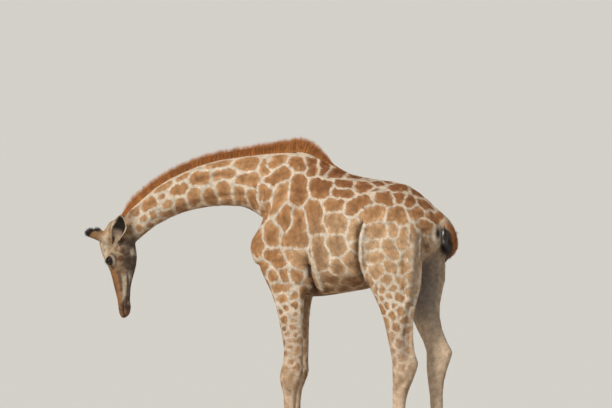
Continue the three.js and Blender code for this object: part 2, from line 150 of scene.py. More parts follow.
def add(tree, kind, settings=None, **inputs):
    """Adds a node, with its settings, and sets or links its inputs.

    An input is named, with _ for a space, or i0, i1 for its place among those in use. A node given for
    an input is linked from its first output in use.
    """
    node = tree.nodes.new(kind)
    for key, value in (settings or {}).items():
        setattr(node, key, value)
    in_use = [socket for socket in node.inputs if socket.enabled]
    for key, value in inputs.items():
        if key[0] == "i" and key[1:].isdigit():
            socket = in_use[int(key[1:])]
        else:
            socket = next(s for s in in_use if s.name == key.replace("_", " "))
        if isinstance(value, bpy.types.Node):
            value = next(output for output in value.outputs if output.enabled)
        if isinstance(value, bpy.types.NodeSocket):
            tree.links.new(value, socket)
        else:
            socket.default_value = value
    return node


def new_object(name, mesh):
    thing = bpy.data.objects.new(name, mesh)
    bpy.context.scene.collection.objects.link(thing)
    return thing


# %% [markdown]
# ## Floor, sun and sky
# The floor is a sheet of pale paper that reaches past the horizon. The light is a soft sun, high on the
# animal's left, and a pale sky that fills its shadows.

# %% Floor, sun and sky
FLOOR_RADIUS = 2000
floor_mesh = bpy.data.meshes.new("floor")
disc = bmesh.new()
bmesh.ops.create_circle(disc, cap_ends=True, segments=96, radius=FLOOR_RADIUS)
disc.to_mesh(floor_mesh)
disc.free()
floor = new_object("floor", floor_mesh)
paper = bpy.data.materials.new("pale_studio_floor")  # matt paper, without a highlight
paper.use_nodes = True
paper.node_tree.nodes["Principled BSDF"].inputs["Base Color"].default_value = linear("#d9d6cf")
paper.node_tree.nodes["Principled BSDF"].inputs["Roughness"].default_value = 0.9
floor_mesh.materials.append(paper)
floor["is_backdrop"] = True

sun = bpy.data.objects.new("sun", bpy.data.lights.new("sun", "SUN"))
sun.data.energy = 3.15
sun.data.angle = math.radians(14)
sun.data.color = (1.0, 0.955, 0.89)
TOWARDS_SUN = Vector((-0.25, -0.76, 0.58))
sun.rotation_euler = TOWARDS_SUN.to_track_quat("Z", "Y").to_euler()
bpy.context.scene.collection.objects.link(sun)

sky = bpy.data.worlds.new("pale_sky")
sky.use_nodes = True
sky.node_tree.nodes["Background"].inputs["Color"].default_value = linear("#dfe4ea")
sky.node_tree.nodes["Background"].inputs["Strength"].default_value = 0.5
bpy.context.scene.world = sky
print("sun", round(sun.data.energy, 2), "W/m2")

# %% [markdown]
# ## Working on meshes as clay
# A body has no rule that a modifier could follow, so its skin is worked as clay: points are read into
# an array, pushed about, and written back. Voxel remeshing welds overlapping shells into one even
# skin. Taubin smoothing takes off corners without shrinking the shape, because each step that shrinks
# is followed by one that swells.


# %% Points as an array
def read_points(mesh):
    places = np.empty(len(mesh.vertices) * 3)
    mesh.vertices.foreach_get("co", places)
    return places.reshape(-1, 3)


def write_points(mesh, places):
    mesh.vertices.foreach_set("co", places.ravel())
    mesh.update()


def read_normals(mesh):
    normals = np.empty(len(mesh.vertices) * 3)
    mesh.vertex_normals.foreach_get("vector", normals)
    return normals.reshape(-1, 3)


# %% [markdown]
# Solids that only touch aren't one body yet, so copies of them are swollen until they overlap. A
# modifier is used by giving it a holder object for as long as it takes to read the result.


# %% Weld, and use a modifier
def welded(names, grow=0.0):
    """One loose mesh of copies of solids, each swollen by grow so that neighbours overlap."""
    clay = bmesh.new()
    for name in names:
        piece = bmesh.new()
        piece.from_mesh(nodes[name].data)
        bmesh.ops.remove_doubles(piece, verts=piece.verts, dist=1e-5)
        piece.normal_update()
        for vertex in piece.verts:
            vertex.co += vertex.normal * grow
        part = bpy.data.meshes.new(name)
        piece.to_mesh(part)
        piece.free()
        clay.from_mesh(part)
    mesh = bpy.data.meshes.new("clay")
    clay.to_mesh(mesh)
    clay.free()
    return mesh


def with_modifier(mesh, kind, **settings):
    """The mesh as one modifier leaves it."""
    holder = new_object("holder", mesh)
    modifier = holder.modifiers.new("work", kind)
    for key, value in settings.items():
        setattr(modifier, key, value)
    shaped = holder.evaluated_get(bpy.context.evaluated_depsgraph_get())
    result = bpy.data.meshes.new_from_object(shaped)
    bpy.data.objects.remove(holder)
    return result


def voxels(mesh, size):
    return with_modifier(mesh, "REMESH", mode="VOXEL", voxel_size=size, use_smooth_shade=True)


# %% [markdown]
# Smoothing asks which points are joined by an edge. A net keeps that, and averages any values over
# each point's neighbours.


# %% Smooth
class Net:
    """Which points of a mesh are joined by an edge."""

    def __init__(self, mesh):
        ends = np.empty(len(mesh.edges) * 2, np.int32)
        mesh.edges.foreach_get("vertices", ends)
        ends = ends.reshape(-1, 2)
        self.start = np.concatenate([ends[:, 0], ends[:, 1]])
        self.end = np.concatenate([ends[:, 1], ends[:, 0]])
        self.size = len(mesh.vertices)
        self.count = np.maximum(np.bincount(self.start, minlength=self.size), 1)

    def average(self, values):
        columns = [np.bincount(self.start, values[self.end, k], self.size) for k in range(values.shape[1])]
        return np.stack(columns, 1) / self.count[:, None]

    def smoothed(self, values, rounds, shrink=0.5, swell=-0.52):
        for _ in range(rounds):
            for step in (shrink, swell):
                values = values + step * (self.average(values) - values)
        return values


def ramp(value, low, high):
    """0 below low, 1 above high, and smooth between them."""
    t = np.clip((value - low) / (high - low), 0, 1)
    return t * t * (3 - 2 * t)


# %% [markdown]
# ## The skin: one shell over the flesh
# The solids are cut into named parts and have flat facets. Swollen by a millimetre and a half they
# overlap, and voxels weld them into one body. The eyes are welded in too, so that the skin bulges over
# them, and the lids are cut later. The facets on the trunk are the widest, so it is smoothed longest,
# and the head and the lower legs keep their corners.

# %% Body without ears and ossicones
BODY_VOXEL = 0.009
body_names = ["head", "neck", "trunk", "tail", "eye_left", "eye_right"]
body_names += [n for n in nodes if n.startswith(("foreleg", "hindleg"))]
body = voxels(welded(body_names, 0.0015), BODY_VOXEL)
net = Net(body)
rough = read_points(body)
fine = net.smoothed(rough, 14)
finer = net.smoothed(fine, 24)
finest = net.smoothed(finer, 90)
own = rough - ORIGIN
on_trunk = ramp(own[:, 2], 1.35, 1.6) * ramp(own[:, 0], -1.75, -1.45)
off_face = np.maximum(ramp(own[:, 0], -1.72, -1.6), ramp(own[:, 2], 0, 0.2) * (own[:, 0] > -1.0))
off_face = off_face[:, None]
on_trunk = on_trunk[:, None]
smooth = fine + (finer - fine) * off_face
smooth += (finest - smooth) * on_trunk
write_points(body, smooth)
print("body", len(body.vertices), "points")

# %% [markdown]
# ## Turned and tubular shapes
# The ossicones and the bone under them are turned on an axis, like wood on a lathe. Their surface is a
# stack of rings, and the same faces join the rings of a lash, a strand of the tail or the mane's core.


# %% Turned and tubular shapes
def turned(profile, rows, columns, axis, base, across_lobes=0.0):
    """A surface of revolution in world places, and the share of its length at each point."""
    profile = np.array(profile, float) / 1000
    steps = np.linspace(0, 1, len(profile))
    t = np.linspace(0, 1, rows)
    radius = np.interp(t, steps, profile[:, 0])
    height = np.interp(t, steps, profile[:, 1])
    side = np.cross(axis, [0.3, 0.9, 0.2])
    side /= np.linalg.norm(side)
    other = np.cross(axis, side)
    angle = np.linspace(0, 2 * np.pi, columns, endpoint=False)
    ring = side * np.cos(angle)[:, None] + other * np.sin(angle)[:, None]
    lumps = 1 + across_lobes * np.sin(3 * angle + 1)[None, :, None] * np.sin(t * 9)[:, None, None]
    places = base + axis * height[:, None, None] + ring[None] * radius[:, None, None] * lumps
    return places.reshape(-1, 3), np.repeat(t, columns)


def tube_faces(rows, columns, first=0):
    """Quads round a tube of rings, and a face that closes each end."""
    faces = []
    for i in range(rows - 1):
        for j in range(columns):
            a, b = first + i * columns + j, first + i * columns + (j + 1) % columns
            faces.append((a, b, b + columns, a + columns))
    faces.append(tuple(first + j for j in reversed(range(columns))))
    faces.append(tuple(first + (rows - 1) * columns + j for j in range(columns)))
    return faces


def mesh_of(name, places, faces, smooth=True):
    mesh = bpy.data.meshes.new(name)
    mesh.from_pydata(np.asarray(places).tolist(), [], faces)
    mesh.update()
    box = bmesh.new()
    box.from_mesh(mesh)
    bmesh.ops.recalc_face_normals(box, faces=box.faces)
    box.to_mesh(mesh)
    box.free()
    for face in mesh.polygons:
        face.use_smooth = smooth
    return mesh


# %% [markdown]
# An ear is a leaf of gristle, rolled into a tube at its root and open to the side. It is made as two
# layers of points a few millimetres apart, from the same rule as its solid. The body is divided once
# more, the ears and the raised roots of the ossicones are added, and finer voxels weld them on.

# %% An ear as a leaf
EAR_LENGTH = 0.226
EAR_ROWS = 36
EAR_COLUMNS = 30
EAR_SHIFT = EAR_ROWS * EAR_COLUMNS  # from a point of the inner layer to its fellow on the outer


def ear_axes(sign):
    """An ear's root, its length, the way that it opens and its width."""
    up = np.array([0.34, sign * 0.46, 0.82])
    up /= np.linalg.norm(up)
    opening = np.array([-0.1, sign, 0.0])
    opening -= opening @ up * up
    opening /= np.linalg.norm(opening)
    return in_head(0.172, -0.01, sign * 0.072), up, opening, np.cross(up, opening)


def ear_roll(t):
    """Half the angle that the leaf is rolled through, at a share of its length."""
    return 0.75 + 1.55 * np.maximum(0, 1 - 1.7 * t)


def ear_half_width(t):
    """Half the leaf's width, laid flat, at a share of its length."""
    return 0.005 + 0.071 * np.sin(np.pi * (0.22 + 0.78 * t)).clip(0) ** 0.75


def ear_leaf(sign):
    root, up, opening, across = ear_axes(sign)
    t = np.linspace(0, 1, EAR_ROWS)[:, None]
    half = ear_half_width(t)
    roll = ear_roll(t)
    angle = roll * np.linspace(-1, 1, EAR_COLUMNS)[None, :]
    thick = 0.007 * (1 - 0.55 * t) + 0.0035
    middle = half / roll
    layers = []
    for share in (0.25, -0.75):
        r = middle + share * thick
        layer = root + up * (t * EAR_LENGTH)[..., None]
        layer = layer + across * (r * np.sin(angle))[..., None]
        layer = layer + opening * (middle * 0.6 - r * np.cos(angle))[..., None]
        layers.append(layer.reshape(-1, 3))
    places = np.concatenate(layers)
    grid = np.arange(EAR_SHIFT).reshape(EAR_ROWS, EAR_COLUMNS)
    back = grid + EAR_SHIFT
    faces = []
    for here, turn in ((grid, 1), (back, -1)):
        quads = np.stack([here[:-1, :-1], here[:-1, 1:], here[1:, 1:], here[1:, :-1]], -1).reshape(-1, 4)
        faces += quads[:, ::turn].tolist()
    rim = np.concatenate([grid[0], grid[1:, -1], grid[-1, -2::-1], grid[-2::-1, 0]])
    faces += [[b, a, a + EAR_SHIFT, b + EAR_SHIFT] for a, b in zip(rim[:-1].tolist(), rim[1:].tolist())]
    mesh = bpy.data.meshes.new("ear")
    mesh.from_pydata(places.tolist(), [], faces)
    return mesh


# %% [markdown]
# The raised root of an ossicone is a low cone of bone that the skin runs over. It is welded on with the
# ears, and the corner between it and the forehead is smoothed away.

# %% Weld the ears and the ossicones' roots on
SKIN_VOXEL = 0.0042


def joined(meshes):
    things = [new_object("part", mesh) for mesh in meshes]
    with bpy.context.temp_override(active_object=things[0], selected_editable_objects=things):
        bpy.ops.object.join()
    mesh = things[0].data
    bpy.data.objects.remove(things[0])
    return mesh


body_tree = BVHTree.FromPolygons(smooth.tolist(), [p.vertices[:] for p in body.polygons])
PEDICLE_PROFILE = [(0.4, -90), (60, -88), (55, -45), (44, -15), (36, 6), (29, 22), (20, 30), (0.4, 32)]


def horn_axis(sign):
    way = forehead - 0.4 * lengthwise + np.array([0, 0.16 * sign, 0])
    return in_head(0.14, 0.106, sign * 0.044), way / np.linalg.norm(way)


def pedicle(sign):
    base, way = horn_axis(sign)
    places, _ = turned(PEDICLE_PROFILE, 40, 48, way, base)
    return mesh_of("pedicle", places, tube_faces(40, 48))


finer_body = with_modifier(body, "SUBSURF", levels=1)
added = [ear_leaf(-1), ear_leaf(1), pedicle(-1), pedicle(1)]
skin = voxels(joined([finer_body, *added]), SKIN_VOXEL)
net = Net(skin)
places = net.smoothed(read_points(skin), 3)
roots = np.zeros(len(places))
for sign in SIDES.values():
    base, way = horn_axis(sign)
    away = np.linalg.norm(places - base - way * 0.012, axis=1)
    roots = np.maximum(roots, (1 - ramp(away, 0.05, 0.085)) * ((places - base) @ way < 0.03))
places += (net.smoothed(places, 14, 0.5, 0.0) - places) * roots[:, None]
write_points(skin, places)
print("skin", len(skin.vertices), "points")

# %% [markdown]
# ## Standing square
# The right legs stand off from the left ones: the foreleg forward, the hock back and up. Folds and
# markings are easier to describe on an animal that stands square, so each point of the skin also has
# a level place, from which the right legs' steps are taken away. The tables follow the legs down.

# %% Level places
FORE_STEP = -0.078
HIND_LEVELS = [0, 0.255, 0.4, 0.68, 0.78, 0.862, 0.93, 0.99, 1.075]
HIND_LEVELS += [1.19, 1.31, 1.405, 1.5, 1.6, 1.72, 1.855, 2.0, 2.13]
HOCK_SHARE = [0, 0, 0.1, 0.4, 0.7, 0.9, 1.04, 1.04, 0.93]
HOCK_SHARE += [0.72, 0.56, 0.48, 0.42, 0.36, 0.3, 0.26, 0.1, 0]
HOCK_BACK = 0.138
HOCK_RISE = 0.066
HOOF_BACK = 0.192


def level(places):
    """Places in the animal's own frame as if the right legs stood beside the left ones."""
    x, y, z = (places - ORIGIN).T
    right = ramp(y, -0.02, 0.05)
    fore = right * ramp(-x, 0.18, 0.26) * ramp(-z, -1.75, -1.4)
    heights = np.array(HIND_LEVELS)
    share = np.array(HOCK_SHARE)
    below = heights < 0.9
    back = np.where(below, HOOF_BACK + (HOCK_BACK - HOOF_BACK) * share, HOCK_BACK * share)
    risen = heights + HOCK_RISE * share
    hind = right * ramp(x, 0.08, 0.2)
    square_x = x - fore * FORE_STEP - hind * np.interp(z, risen, back)
    square_z = z + hind * (np.interp(z, risen, heights) - z)
    return np.stack([square_x, y, square_z], 1)


# %% [markdown]
# ## Folds, bones and muscles
# Each stroke follows a line on the animal's side and pushes the skin out or in along its own normals,
# most on the line and less away from it. The same strokes are made on both sides. What shows on a
# lean young animal is the edge of the shoulder blade, the loose skin behind the elbow and in front of
# the thigh, the hollow of the flank, the hip bone, the folds where the neck bends, and the tendons.

# %% Strokes on both sides


def off_path(places, path):
    """Each place's distance from a path of straight pieces, or from a lone point."""
    path = np.array(path, float).reshape(-1, places.shape[1])
    nearest = np.linalg.norm(places - path[0], axis=1)
    for start, end in zip(path[:-1], path[1:]):
        run = end - start
        t = np.clip((places - start) @ run / (run @ run), 0, 1)
        nearest = np.minimum(nearest, np.linalg.norm(places - start - t[:, None] * run, axis=1))
    return nearest


ELBOW_FURROW = [-0.236, 1.74, -0.232, 1.64, -0.222, 1.55, -0.205, 1.45]
THIGH_FURROW = [0.19, 1.99, 0.168, 1.9, 0.16, 1.72, 0.168, 1.62, 0.19, 1.5]
REAR_FURROW = [0.63, 1.93, 0.62, 1.8, 0.6, 1.6, 0.565, 1.4]
HOCK_FURROW = [0.55, 1.4, 0.51, 1.18, 0.515, 1.05]
# Each row is how far out in mm, how wide in mm, and the path as x, z pairs in metres.
SIDE_STROKES = [
    (-10, 30, [-0.24, 2.4, -0.2, 2.0, -0.21, 1.82]),  # behind the shoulder blade
    (5, 40, [-0.33, 2.38, -0.42, 2.05, -0.5, 1.9]),  # spine of the shoulder blade
    (-12, 30, [-0.236, 1.86, -0.236, 1.78]),  # behind the elbow
    (-14, 26, [-0.236, 1.74, -0.232, 1.64]),
    (-36, 22, [-0.23, 1.66, -0.222, 1.55, -0.205, 1.45]),
    (13, 26, [-0.18, 1.8, -0.16, 1.66, -0.145, 1.49]),  # fold of skin behind it
    (-13, 22, [-0.6, 2.02, -0.57, 2.15, -0.5, 2.3]),  # where the neck meets the shoulder
    (9, 60, [-0.64, 1.83]),  # point of the shoulder
    (9, 80, [-0.36, 1.75]),  # triceps
    (-6, 25, [-0.55, 1.7, -0.46, 1.62, -0.4, 1.55]),  # under the triceps
    (-20, 85, [0.16, 2.06]),  # hollow of the flank
    (-36, 15, THIGH_FURROW),  # in front of the thigh
    (17, 19, [0.222, 1.955, 0.205, 1.88, 0.2, 1.7, 0.215, 1.58]),  # edge of the thigh
    (10, 45, [0.22, 2.13]),  # hip bone
    (6, 60, [0.4, 2.06]),  # thigh joint
    (-8, 30, [0.34, 2.1, 0.29, 1.98]),  # between them
    (-24, 20, REAR_FURROW),  # back of the thigh
    (-13, 13, [0.675, 1.9, 0.67, 1.7, 0.65, 1.55]),
    (-12, 20, [0.52, 1.75, 0.52, 1.58, 0.5, 1.42]),
    (8, 18, [-0.67, 2.17, -0.63, 2.03]),  # loose folds where the neck begins
    (-9, 10, [-0.645, 2.18, -0.615, 2.04]),
    (8, 10, [-0.615, 2.2, -0.6, 2.05]),
    (-7, 9, [-0.7, 2.17, -0.665, 2.05]),
    (5, 12, [-0.735, 2.15, -0.7, 2.06]),
    (-9, 16, [-1.17, 2.245, -1.02, 2.29, -0.87, 2.31]),  # between the muscles of the neck
    (7, 22, [-1.17, 2.285, -1.02, 2.335, -0.87, 2.355]),
    (-6, 22, [-1.5, 1.97, -1.2, 2.09, -0.95, 2.15, -0.75, 2.17]),  # along the windpipe
    (-24, 25, HOCK_FURROW),  # before the tendon of the hock
    (5, 20, [0.44, 1.03, 0.49, 0.95]),  # bones of the hock
    (-4, 14, [0.47, 0.97, 0.5, 0.9]),
    (5, 20, [-0.395, 0.915]),  # bones of the knee
    (-4, 10, [-0.43, 0.935, -0.34, 0.935]),
    (5, 22, [-0.315, 0.905]),
    (-9, 12, [-0.385, 0.77, -0.385, 0.27]),  # before the tendons of the legs
    (-9, 12, [0.445, 0.77, 0.438, 0.27]),
    (7, 32, [-0.405, 0.175]),  # fetlocks, and the hollows below them
    (7, 32, [0.455, 0.175]),
    (-6, 20, [-0.425, 0.115]),
    (-6, 20, [0.435, 0.115]),
    (5, 60, [0.3, 1.6, 0.33, 1.45]),  # stifle
    (-6, 30, [0.4, 1.56, 0.43, 1.36]),
    (-5, 24, [-0.42, 1.5, -0.4, 1.35]),  # between the muscles of the forearm
]

# %% [markdown]
# The ribs lie 5 cm apart under the skin and show as low ridges. With them the strokes are complete, and
# they are pushed into the skin, which is also drawn in by the depth of the coat that lies on it.

# %% Work the body
RIBS = 7
RIB_SPACING = 0.052
RIB_WIDTH = 14
RIB_HEIGHT = 2.8
for rib in range(RIBS):
    lean = 0.04 * rib
    along = RIB_SPACING * rib
    SIDE_STROKES.append((RIB_HEIGHT, RIB_WIDTH, [-0.16 + along, 2.1 - lean / 2, -0.14 + along, 1.72 + lean]))


def pushed(places, rows):
    """How far rows of strokes push each place out, in metres."""
    push = np.zeros(len(places))
    for out, wide, path in rows:
        distance = off_path(places, path) / (wide / 1000)
        push += out / 1000 * np.exp(-distance * distance)
    return push



COAT_DEPTH = 0.0035
FACE_DEPTH = 0.0015
places = read_points(skin)
normals = read_normals(skin)
square = level(places)
on_side = ramp(normals[:, 1] * np.sign(square[:, 1]), 0.05, 0.6)
on_side *= ramp(square[:, 0], -1.68, -1.6)
thin = ramp(-square[:, 0], 1.6, 1.7) + ramp(-square[:, 2], -1.3, -1.0)
depth = COAT_DEPTH + (FACE_DEPTH - COAT_DEPTH) * np.clip(thin, 0, 1)
push = pushed(square[:, [0, 2]], SIDE_STROKES) * on_side - depth
write_points(skin, places + normals * push[:, None])
print(len(SIDE_STROKES), "strokes, in mm", (push.min() * 1000).round(1), "to", (push.max() * 1000).round(1))

# %% [markdown]
# A fold of skin doesn't turn the markings on it. So whatever asks which way a part of the body faces
# is told by normals that are averaged over many neighbours first.

# %% Which way a part faces
body_square = level(smooth)
body_net = Net(body)
body_normals = read_normals(body)
for _ in range(12):
    body_normals = body_net.average(body_normals)
body_normals /= np.linalg.norm(body_normals, axis=1)[:, None]
facing_tree = KDTree(len(smooth))
for i, place in enumerate(smooth.tolist()):
    facing_tree.insert(place, i)
facing_tree.balance()


def broad_facing(places):
    """Which way each place's part of the body faces, without its folds."""
    nearest = [facing_tree.find(place)[1] for place in places.tolist()]
    return body_normals[nearest]

# %% [markdown]
# ## Where the patches lie
# A giraffe's markings are patches that grew outwards until only pale lines were left between them. So
# each patch here is a short line of seeds, and a point of the skin belongs to the nearest seed. How
# much nearer that seed is than the next patch's tells how far inside its patch the point lies. The
# left side's patches are laid out one by one in rows from the crest down, as x and z in the animal's own
# frame, with a second x and z where the patch is long, and a last number that makes it paler (below 0)
# or darker. A row that says "same" belongs to the patch before it.

# %% Patches of the left side
TRUNK_PATCHES = [
    # under the mane and along the back
    (-0.57, 2.4, -0.565, 2.35), (-0.52, 2.4, -0.43, 2.425), (-0.35, 2.415, -0.29, 2.385),
    (-0.22, 2.41, -0.205, 2.36, 0.4), (-0.115, 2.4, -0.105, 2.365, 0.6), (-0.05, 2.345, 0.035, 2.335, 0.7),
    (0.085, 2.325, 0.165, 2.312, 0.8), (0.2, 2.308, 0.27, 2.302, 0.8), (0.305, 2.275, 0.6),
    (0.375, 2.282, 0.6), (0.43, 2.25, 0.52, 2.245, 0.5), (0.56, 2.235, 0.625, 2.195, 0.5),
    # second row
    (-0.54, 2.285, -0.42, 2.345), (-0.3, 2.28, -0.325, 2.145, 0.3), (-0.165, 2.26, -0.08, 2.235, 0.8),
    (-0.15, 2.2, -0.1, 2.19, 0.8, "same"), (0.015, 2.262, 0.09, 2.25, 0.5),
    (-0.025, 2.203, 0.07, 2.197, 0.5),
    (0.15, 2.25, 0.235, 2.235, 0.4), (0.3, 2.2, 0.365, 2.15, 0.8), (0.46, 2.18, 0.6),
    (0.555, 2.148, 0.6), (0.635, 2.14, 0.68, 2.1, 0.5),
    # third row
    (-0.575, 2.225, -0.585, 2.165), (-0.425, 2.215, -0.475, 2.1), (-0.205, 2.1, -0.165, 1.94, 0.3),
    (-0.065, 2.137, -0.005, 2.13, 0.3), (0.2, 2.152, 0.095, 2.1, 0.4), (0.2, 2.045, 0.31, 2.07, -0.4),
    (0.415, 2.06, 0.48, 2.03, 0.2), (0.58, 2.05, 0.62, 2.075, 0.2), (0.7, 2.055, 0.745, 2.03, 0.4),
    # fourth row
    (-0.4, 2.07, -0.43, 1.98, 0.2), (-0.31, 2.03, -0.325, 1.93, 0.3),
    (-0.38, 1.86, -0.3, 1.87, 0.2, "same"),
    (-0.575, 2.09, -0.575, 2.01), (-0.5, 1.925, -0.525, 1.865, 0.2), (-0.06, 1.985, 0.04, 1.975, -0.5),
    (0.11, 1.965, 0.125, 1.88, -0.6), (0.255, 1.905, 0.325, 1.925, -0.3), (0.41, 1.935, -0.3),
    (0.495, 1.92, 0.485, 1.83, -0.3), (0.57, 1.94, 0.585, 1.885, 0.1), (0.63, 1.982, 0.67, 1.97, 0.4),
    # fifth row and the ribs
    (-0.635, 1.865, -0.62, 1.79), (-0.525, 1.745, -0.455, 1.71, 0.2), (-0.36, 1.745, -0.29, 1.7, -0.7),
    (-0.33, 1.6, 0.2), (-0.42, 1.595, 0.0), (-0.165, 1.845, -0.13, 1.7, -0.2),
    (-0.035, 1.825, 0.025, 1.8, -0.1), (0.135, 1.835, -0.4), (-0.015, 1.665, -0.2),
    (0.075, 1.735, 0.115, 1.69, 0.0), (-0.075, 1.585, -0.05, 1.575, 0.1), (0.1, 1.555, 0.3),
    # thigh
    (0.265, 1.842, -0.4), (0.29, 1.745, -0.5), (0.38, 1.83, 0.42, 1.775, -0.3), (0.525, 1.77, -0.2),
    (0.64, 1.84, -0.2), (0.29, 1.645, -0.4), (0.4, 1.68, -0.3), (0.5, 1.68, -0.3), (0.6, 1.69, -0.2),
    # shoulder and breast
    (-0.585, 1.66, 0.1),
]
LEG_PATCHES = [
    (-0.52, 1.585, 0.1), (-0.49, 1.512, -0.425, 1.502, 0.0), (-0.445, 1.43), (-0.365, 1.45, -0.1),
    (-0.355, 1.382, -0.1), (-0.465, 1.34, 0.5), (-0.43, 1.362, 0.3), (-0.355, 1.325), (-0.43, 1.28, 0.5),
    (-0.36, 1.28, 0.1), (-0.44, 1.215, 0.5), (-0.37, 1.225, 0.2), (-0.405, 1.172, 0.2), (-0.34, 1.18),
    (-0.39, 1.135, -0.32, 1.135), (-0.395, 1.085), (-0.325, 1.072, -0.325, 1.045), (-0.41, 1.04),
    (-0.385, 0.985), (-0.34, 0.945),
    (0.225, 1.545, 0.2), (0.27, 1.515, 0.6), (0.32, 1.508, 0.6), (0.35, 1.578, 0.1), (0.39, 1.525, 0.2),
    (0.46, 1.555, 0.1), (0.535, 1.605, 0.0), (0.27, 1.44, 0.1), (0.315, 1.455, 0.3), (0.365, 1.462, 0.4),
    (0.44, 1.45, 0.3), (0.53, 1.5, 0.0), (0.36, 1.4, 0.4), (0.41, 1.4, 0.4), (0.46, 1.36, 0.1),
    (0.32, 1.37, 0.2), (0.38, 1.325, 0.2), (0.53, 1.38, 0.0), (0.42, 1.25, 0.1), (0.35, 1.28, 0.2),
    (0.49, 1.29, -0.1),
]
NECK_PATCHES = [
    (-0.85, 2.375, -0.7, 2.405), (-1.06, 2.367, -0.94, 2.395), (-1.0, 2.312, -0.885, 2.332, 0.2),
    (-0.81, 2.285, -0.715, 2.265), (-1.17, 2.265, -1.08, 2.315, 0.2), (-1.3, 2.275, -1.26, 2.3),
    (-1.335, 2.2, -1.27, 2.215, 0.2), (-1.18, 2.175, -1.18, 2.11), (-1.055, 2.155, -1.06, 2.12, 0.1),
    (-0.96, 2.225, -0.93, 2.14), (-0.83, 2.185, -0.82, 2.13), (-0.73, 2.175, -0.7, 2.1, 0.2),
    (-1.43, 2.145, 0.1), (-1.395, 2.095, -1.375, 2.1),
    (-1.285, 2.095, -1.29, 2.04, 0.2), (-1.43, 2.008, -1.365, 2.022, 0.2), (-1.56, 2.078, -1.515, 2.105),
    (-1.445, 2.205, -1.38, 2.237), (-1.575, 1.975, 0.1), (-1.495, 2.0, 0.3), (-1.455, 1.965, 0.2),
    (-1.69, 1.99, -1.63, 2.04), (-1.67, 1.95, 0.2), (-1.61, 1.922, 0.3), (-1.52, 1.94, 0.2),
]
print("rows of seeds:", len(TRUNK_PATCHES), "trunk,", len(LEG_PATCHES), "legs,", len(NECK_PATCHES), "neck")

# %% [markdown]
# The layout is drawn from where the camera stands, on a plane that cuts the trunk, the legs or the
# neck near their left side. So each seed is dropped from that plane onto the skin along the line of
# sight.

# %% Drop the seeds
CHART_SHIFT = 0.0047  # the layouts were measured from a point this much further forward
SEED_SPACING = 0.028


def on_skin(x, z, plane):
    """Drops a place of the side layout on the skin, along the line of sight."""
    place = Vector(on_body(x + CHART_SHIFT, plane, z))
    sight = (place - camera.location).normalized()
    hit = body_tree.ray_cast(place - sight * 1.2, sight, 2.4)[0]
    return hit or body_tree.find_nearest(place)[0]


seed_places = []
seed_patch = []
patch_tone = []
for rows, plane in ((TRUNK_PATCHES, -0.22), (LEG_PATCHES, -0.18), (NECK_PATCHES, -0.08)):
    for row in rows:
        numbers = [n for n in row if not isinstance(n, str)]
        ends = [numbers[0:2], numbers[2:4] if len(numbers) > 3 else numbers[0:2]]
        tone = numbers[-1] if len(numbers) % 2 else 0.0
        if "same" not in row:
            patch_tone.append(tone)
        count = 1 + int(math.dist(*ends) / SEED_SPACING)
        for share in np.linspace(0, 1, count):
            x, z = np.array(ends[0]) * (1 - share) + np.array(ends[1]) * share
            seed_places.append(on_skin(x, z, plane))
            seed_patch.append(len(patch_tone) - 1)
left = level(np.array(seed_places))
normals = broad_facing(np.array(seed_places))
own_patches = len(patch_tone)
print(own_patches, "patches on the left side,", len(left), "seeds")

# %% [markdown]
# The right side carries the same kind of patches, but no giraffe's sides are alike: its rows are
# mirrored and each patch is moved by up to 2 cm. What the layout leaves open, such as the breast, the
# belly, the inner sides of the legs and the cheeks, is filled by throwing seeds at random and keeping
# those that land far enough from all others.

# %% Patches of the right side, and the rest
drift = rng.uniform(-0.02, 0.02, (own_patches, 3)) * [1, 0, 1]
drift += [0.03, 0, 0.012]  # and the rows don't start at the same place
right = (left + drift[seed_patch]) * [1, -1, 1]
seeds = np.concatenate([left, right])
seed_normals = np.concatenate([normals, normals * [1, -1, 1]])
seed_patch = np.concatenate([seed_patch, np.array(seed_patch) + own_patches])
patch_tone = patch_tone + [t + 0.2 for t in patch_tone]
SIDE_WEIGHT = 0.04  # metres that turning away counts for, so that patches don't show through thin parts


def with_facing(places, facing):
    return np.concatenate([places, facing * SIDE_WEIGHT], 1)


def patch_spacing(square):
    """How far apart random seeds stay, by where they land."""
    x, _, z = square.T
    leg = 0.056 + 0.035 * ramp(z, 1.25, 1.6)
    body_part = 0.115 - 0.02 * ramp(-z, -1.7, -1.5)
    apart = np.where((z < 1.62) & ((x < -0.25) | (x > 0.18)), leg, body_part)
    apart = np.where(x < -0.7, 0.085 + 0.03 * ramp(x, -1.4, -0.9), apart)
    return np.where((x < -1.66) & (z < 1.93), 0.042, apart)


candidates = rng.permutation(len(smooth))[:9000]
candidates = candidates[body_square[candidates, 2] > 0.55]
kept = with_facing(seeds, seed_normals)
apart = patch_spacing(body_square[candidates])
thrown = with_facing(body_square[candidates], body_normals[candidates])
extra = []
for place, gap in zip(thrown, apart):
    if np.min(np.sum((kept - place) ** 2, axis=1)) > gap * gap:
        kept = np.concatenate([kept, place[None]])
        extra.append(rng.uniform(-0.4, 0.4))
seed_patch = np.concatenate([seed_patch, len(patch_tone) + np.arange(len(extra))])
patch_tone = np.array(patch_tone + extra) + rng.normal(0, 0.12, len(patch_tone) + len(extra))
seed_table = kept.astype(np.float32)
order = np.argsort(seed_patch, kind="stable")
seed_table = seed_table[order]
seed_patch = seed_patch[order]
first_seed = np.searchsorted(seed_patch, np.arange(len(patch_tone)))
print(len(extra), "more patches,", len(seed_table), "seeds in all")


# %% [markdown]
# The distance to each patch's nearest seed says how far inside its patch a point lies. Waves move the
# point about first, so that the edges waver, and where three patches meet their corner is rounded. The
# pale lines are about 2 cm wide, narrower on the face and wider on the neck.


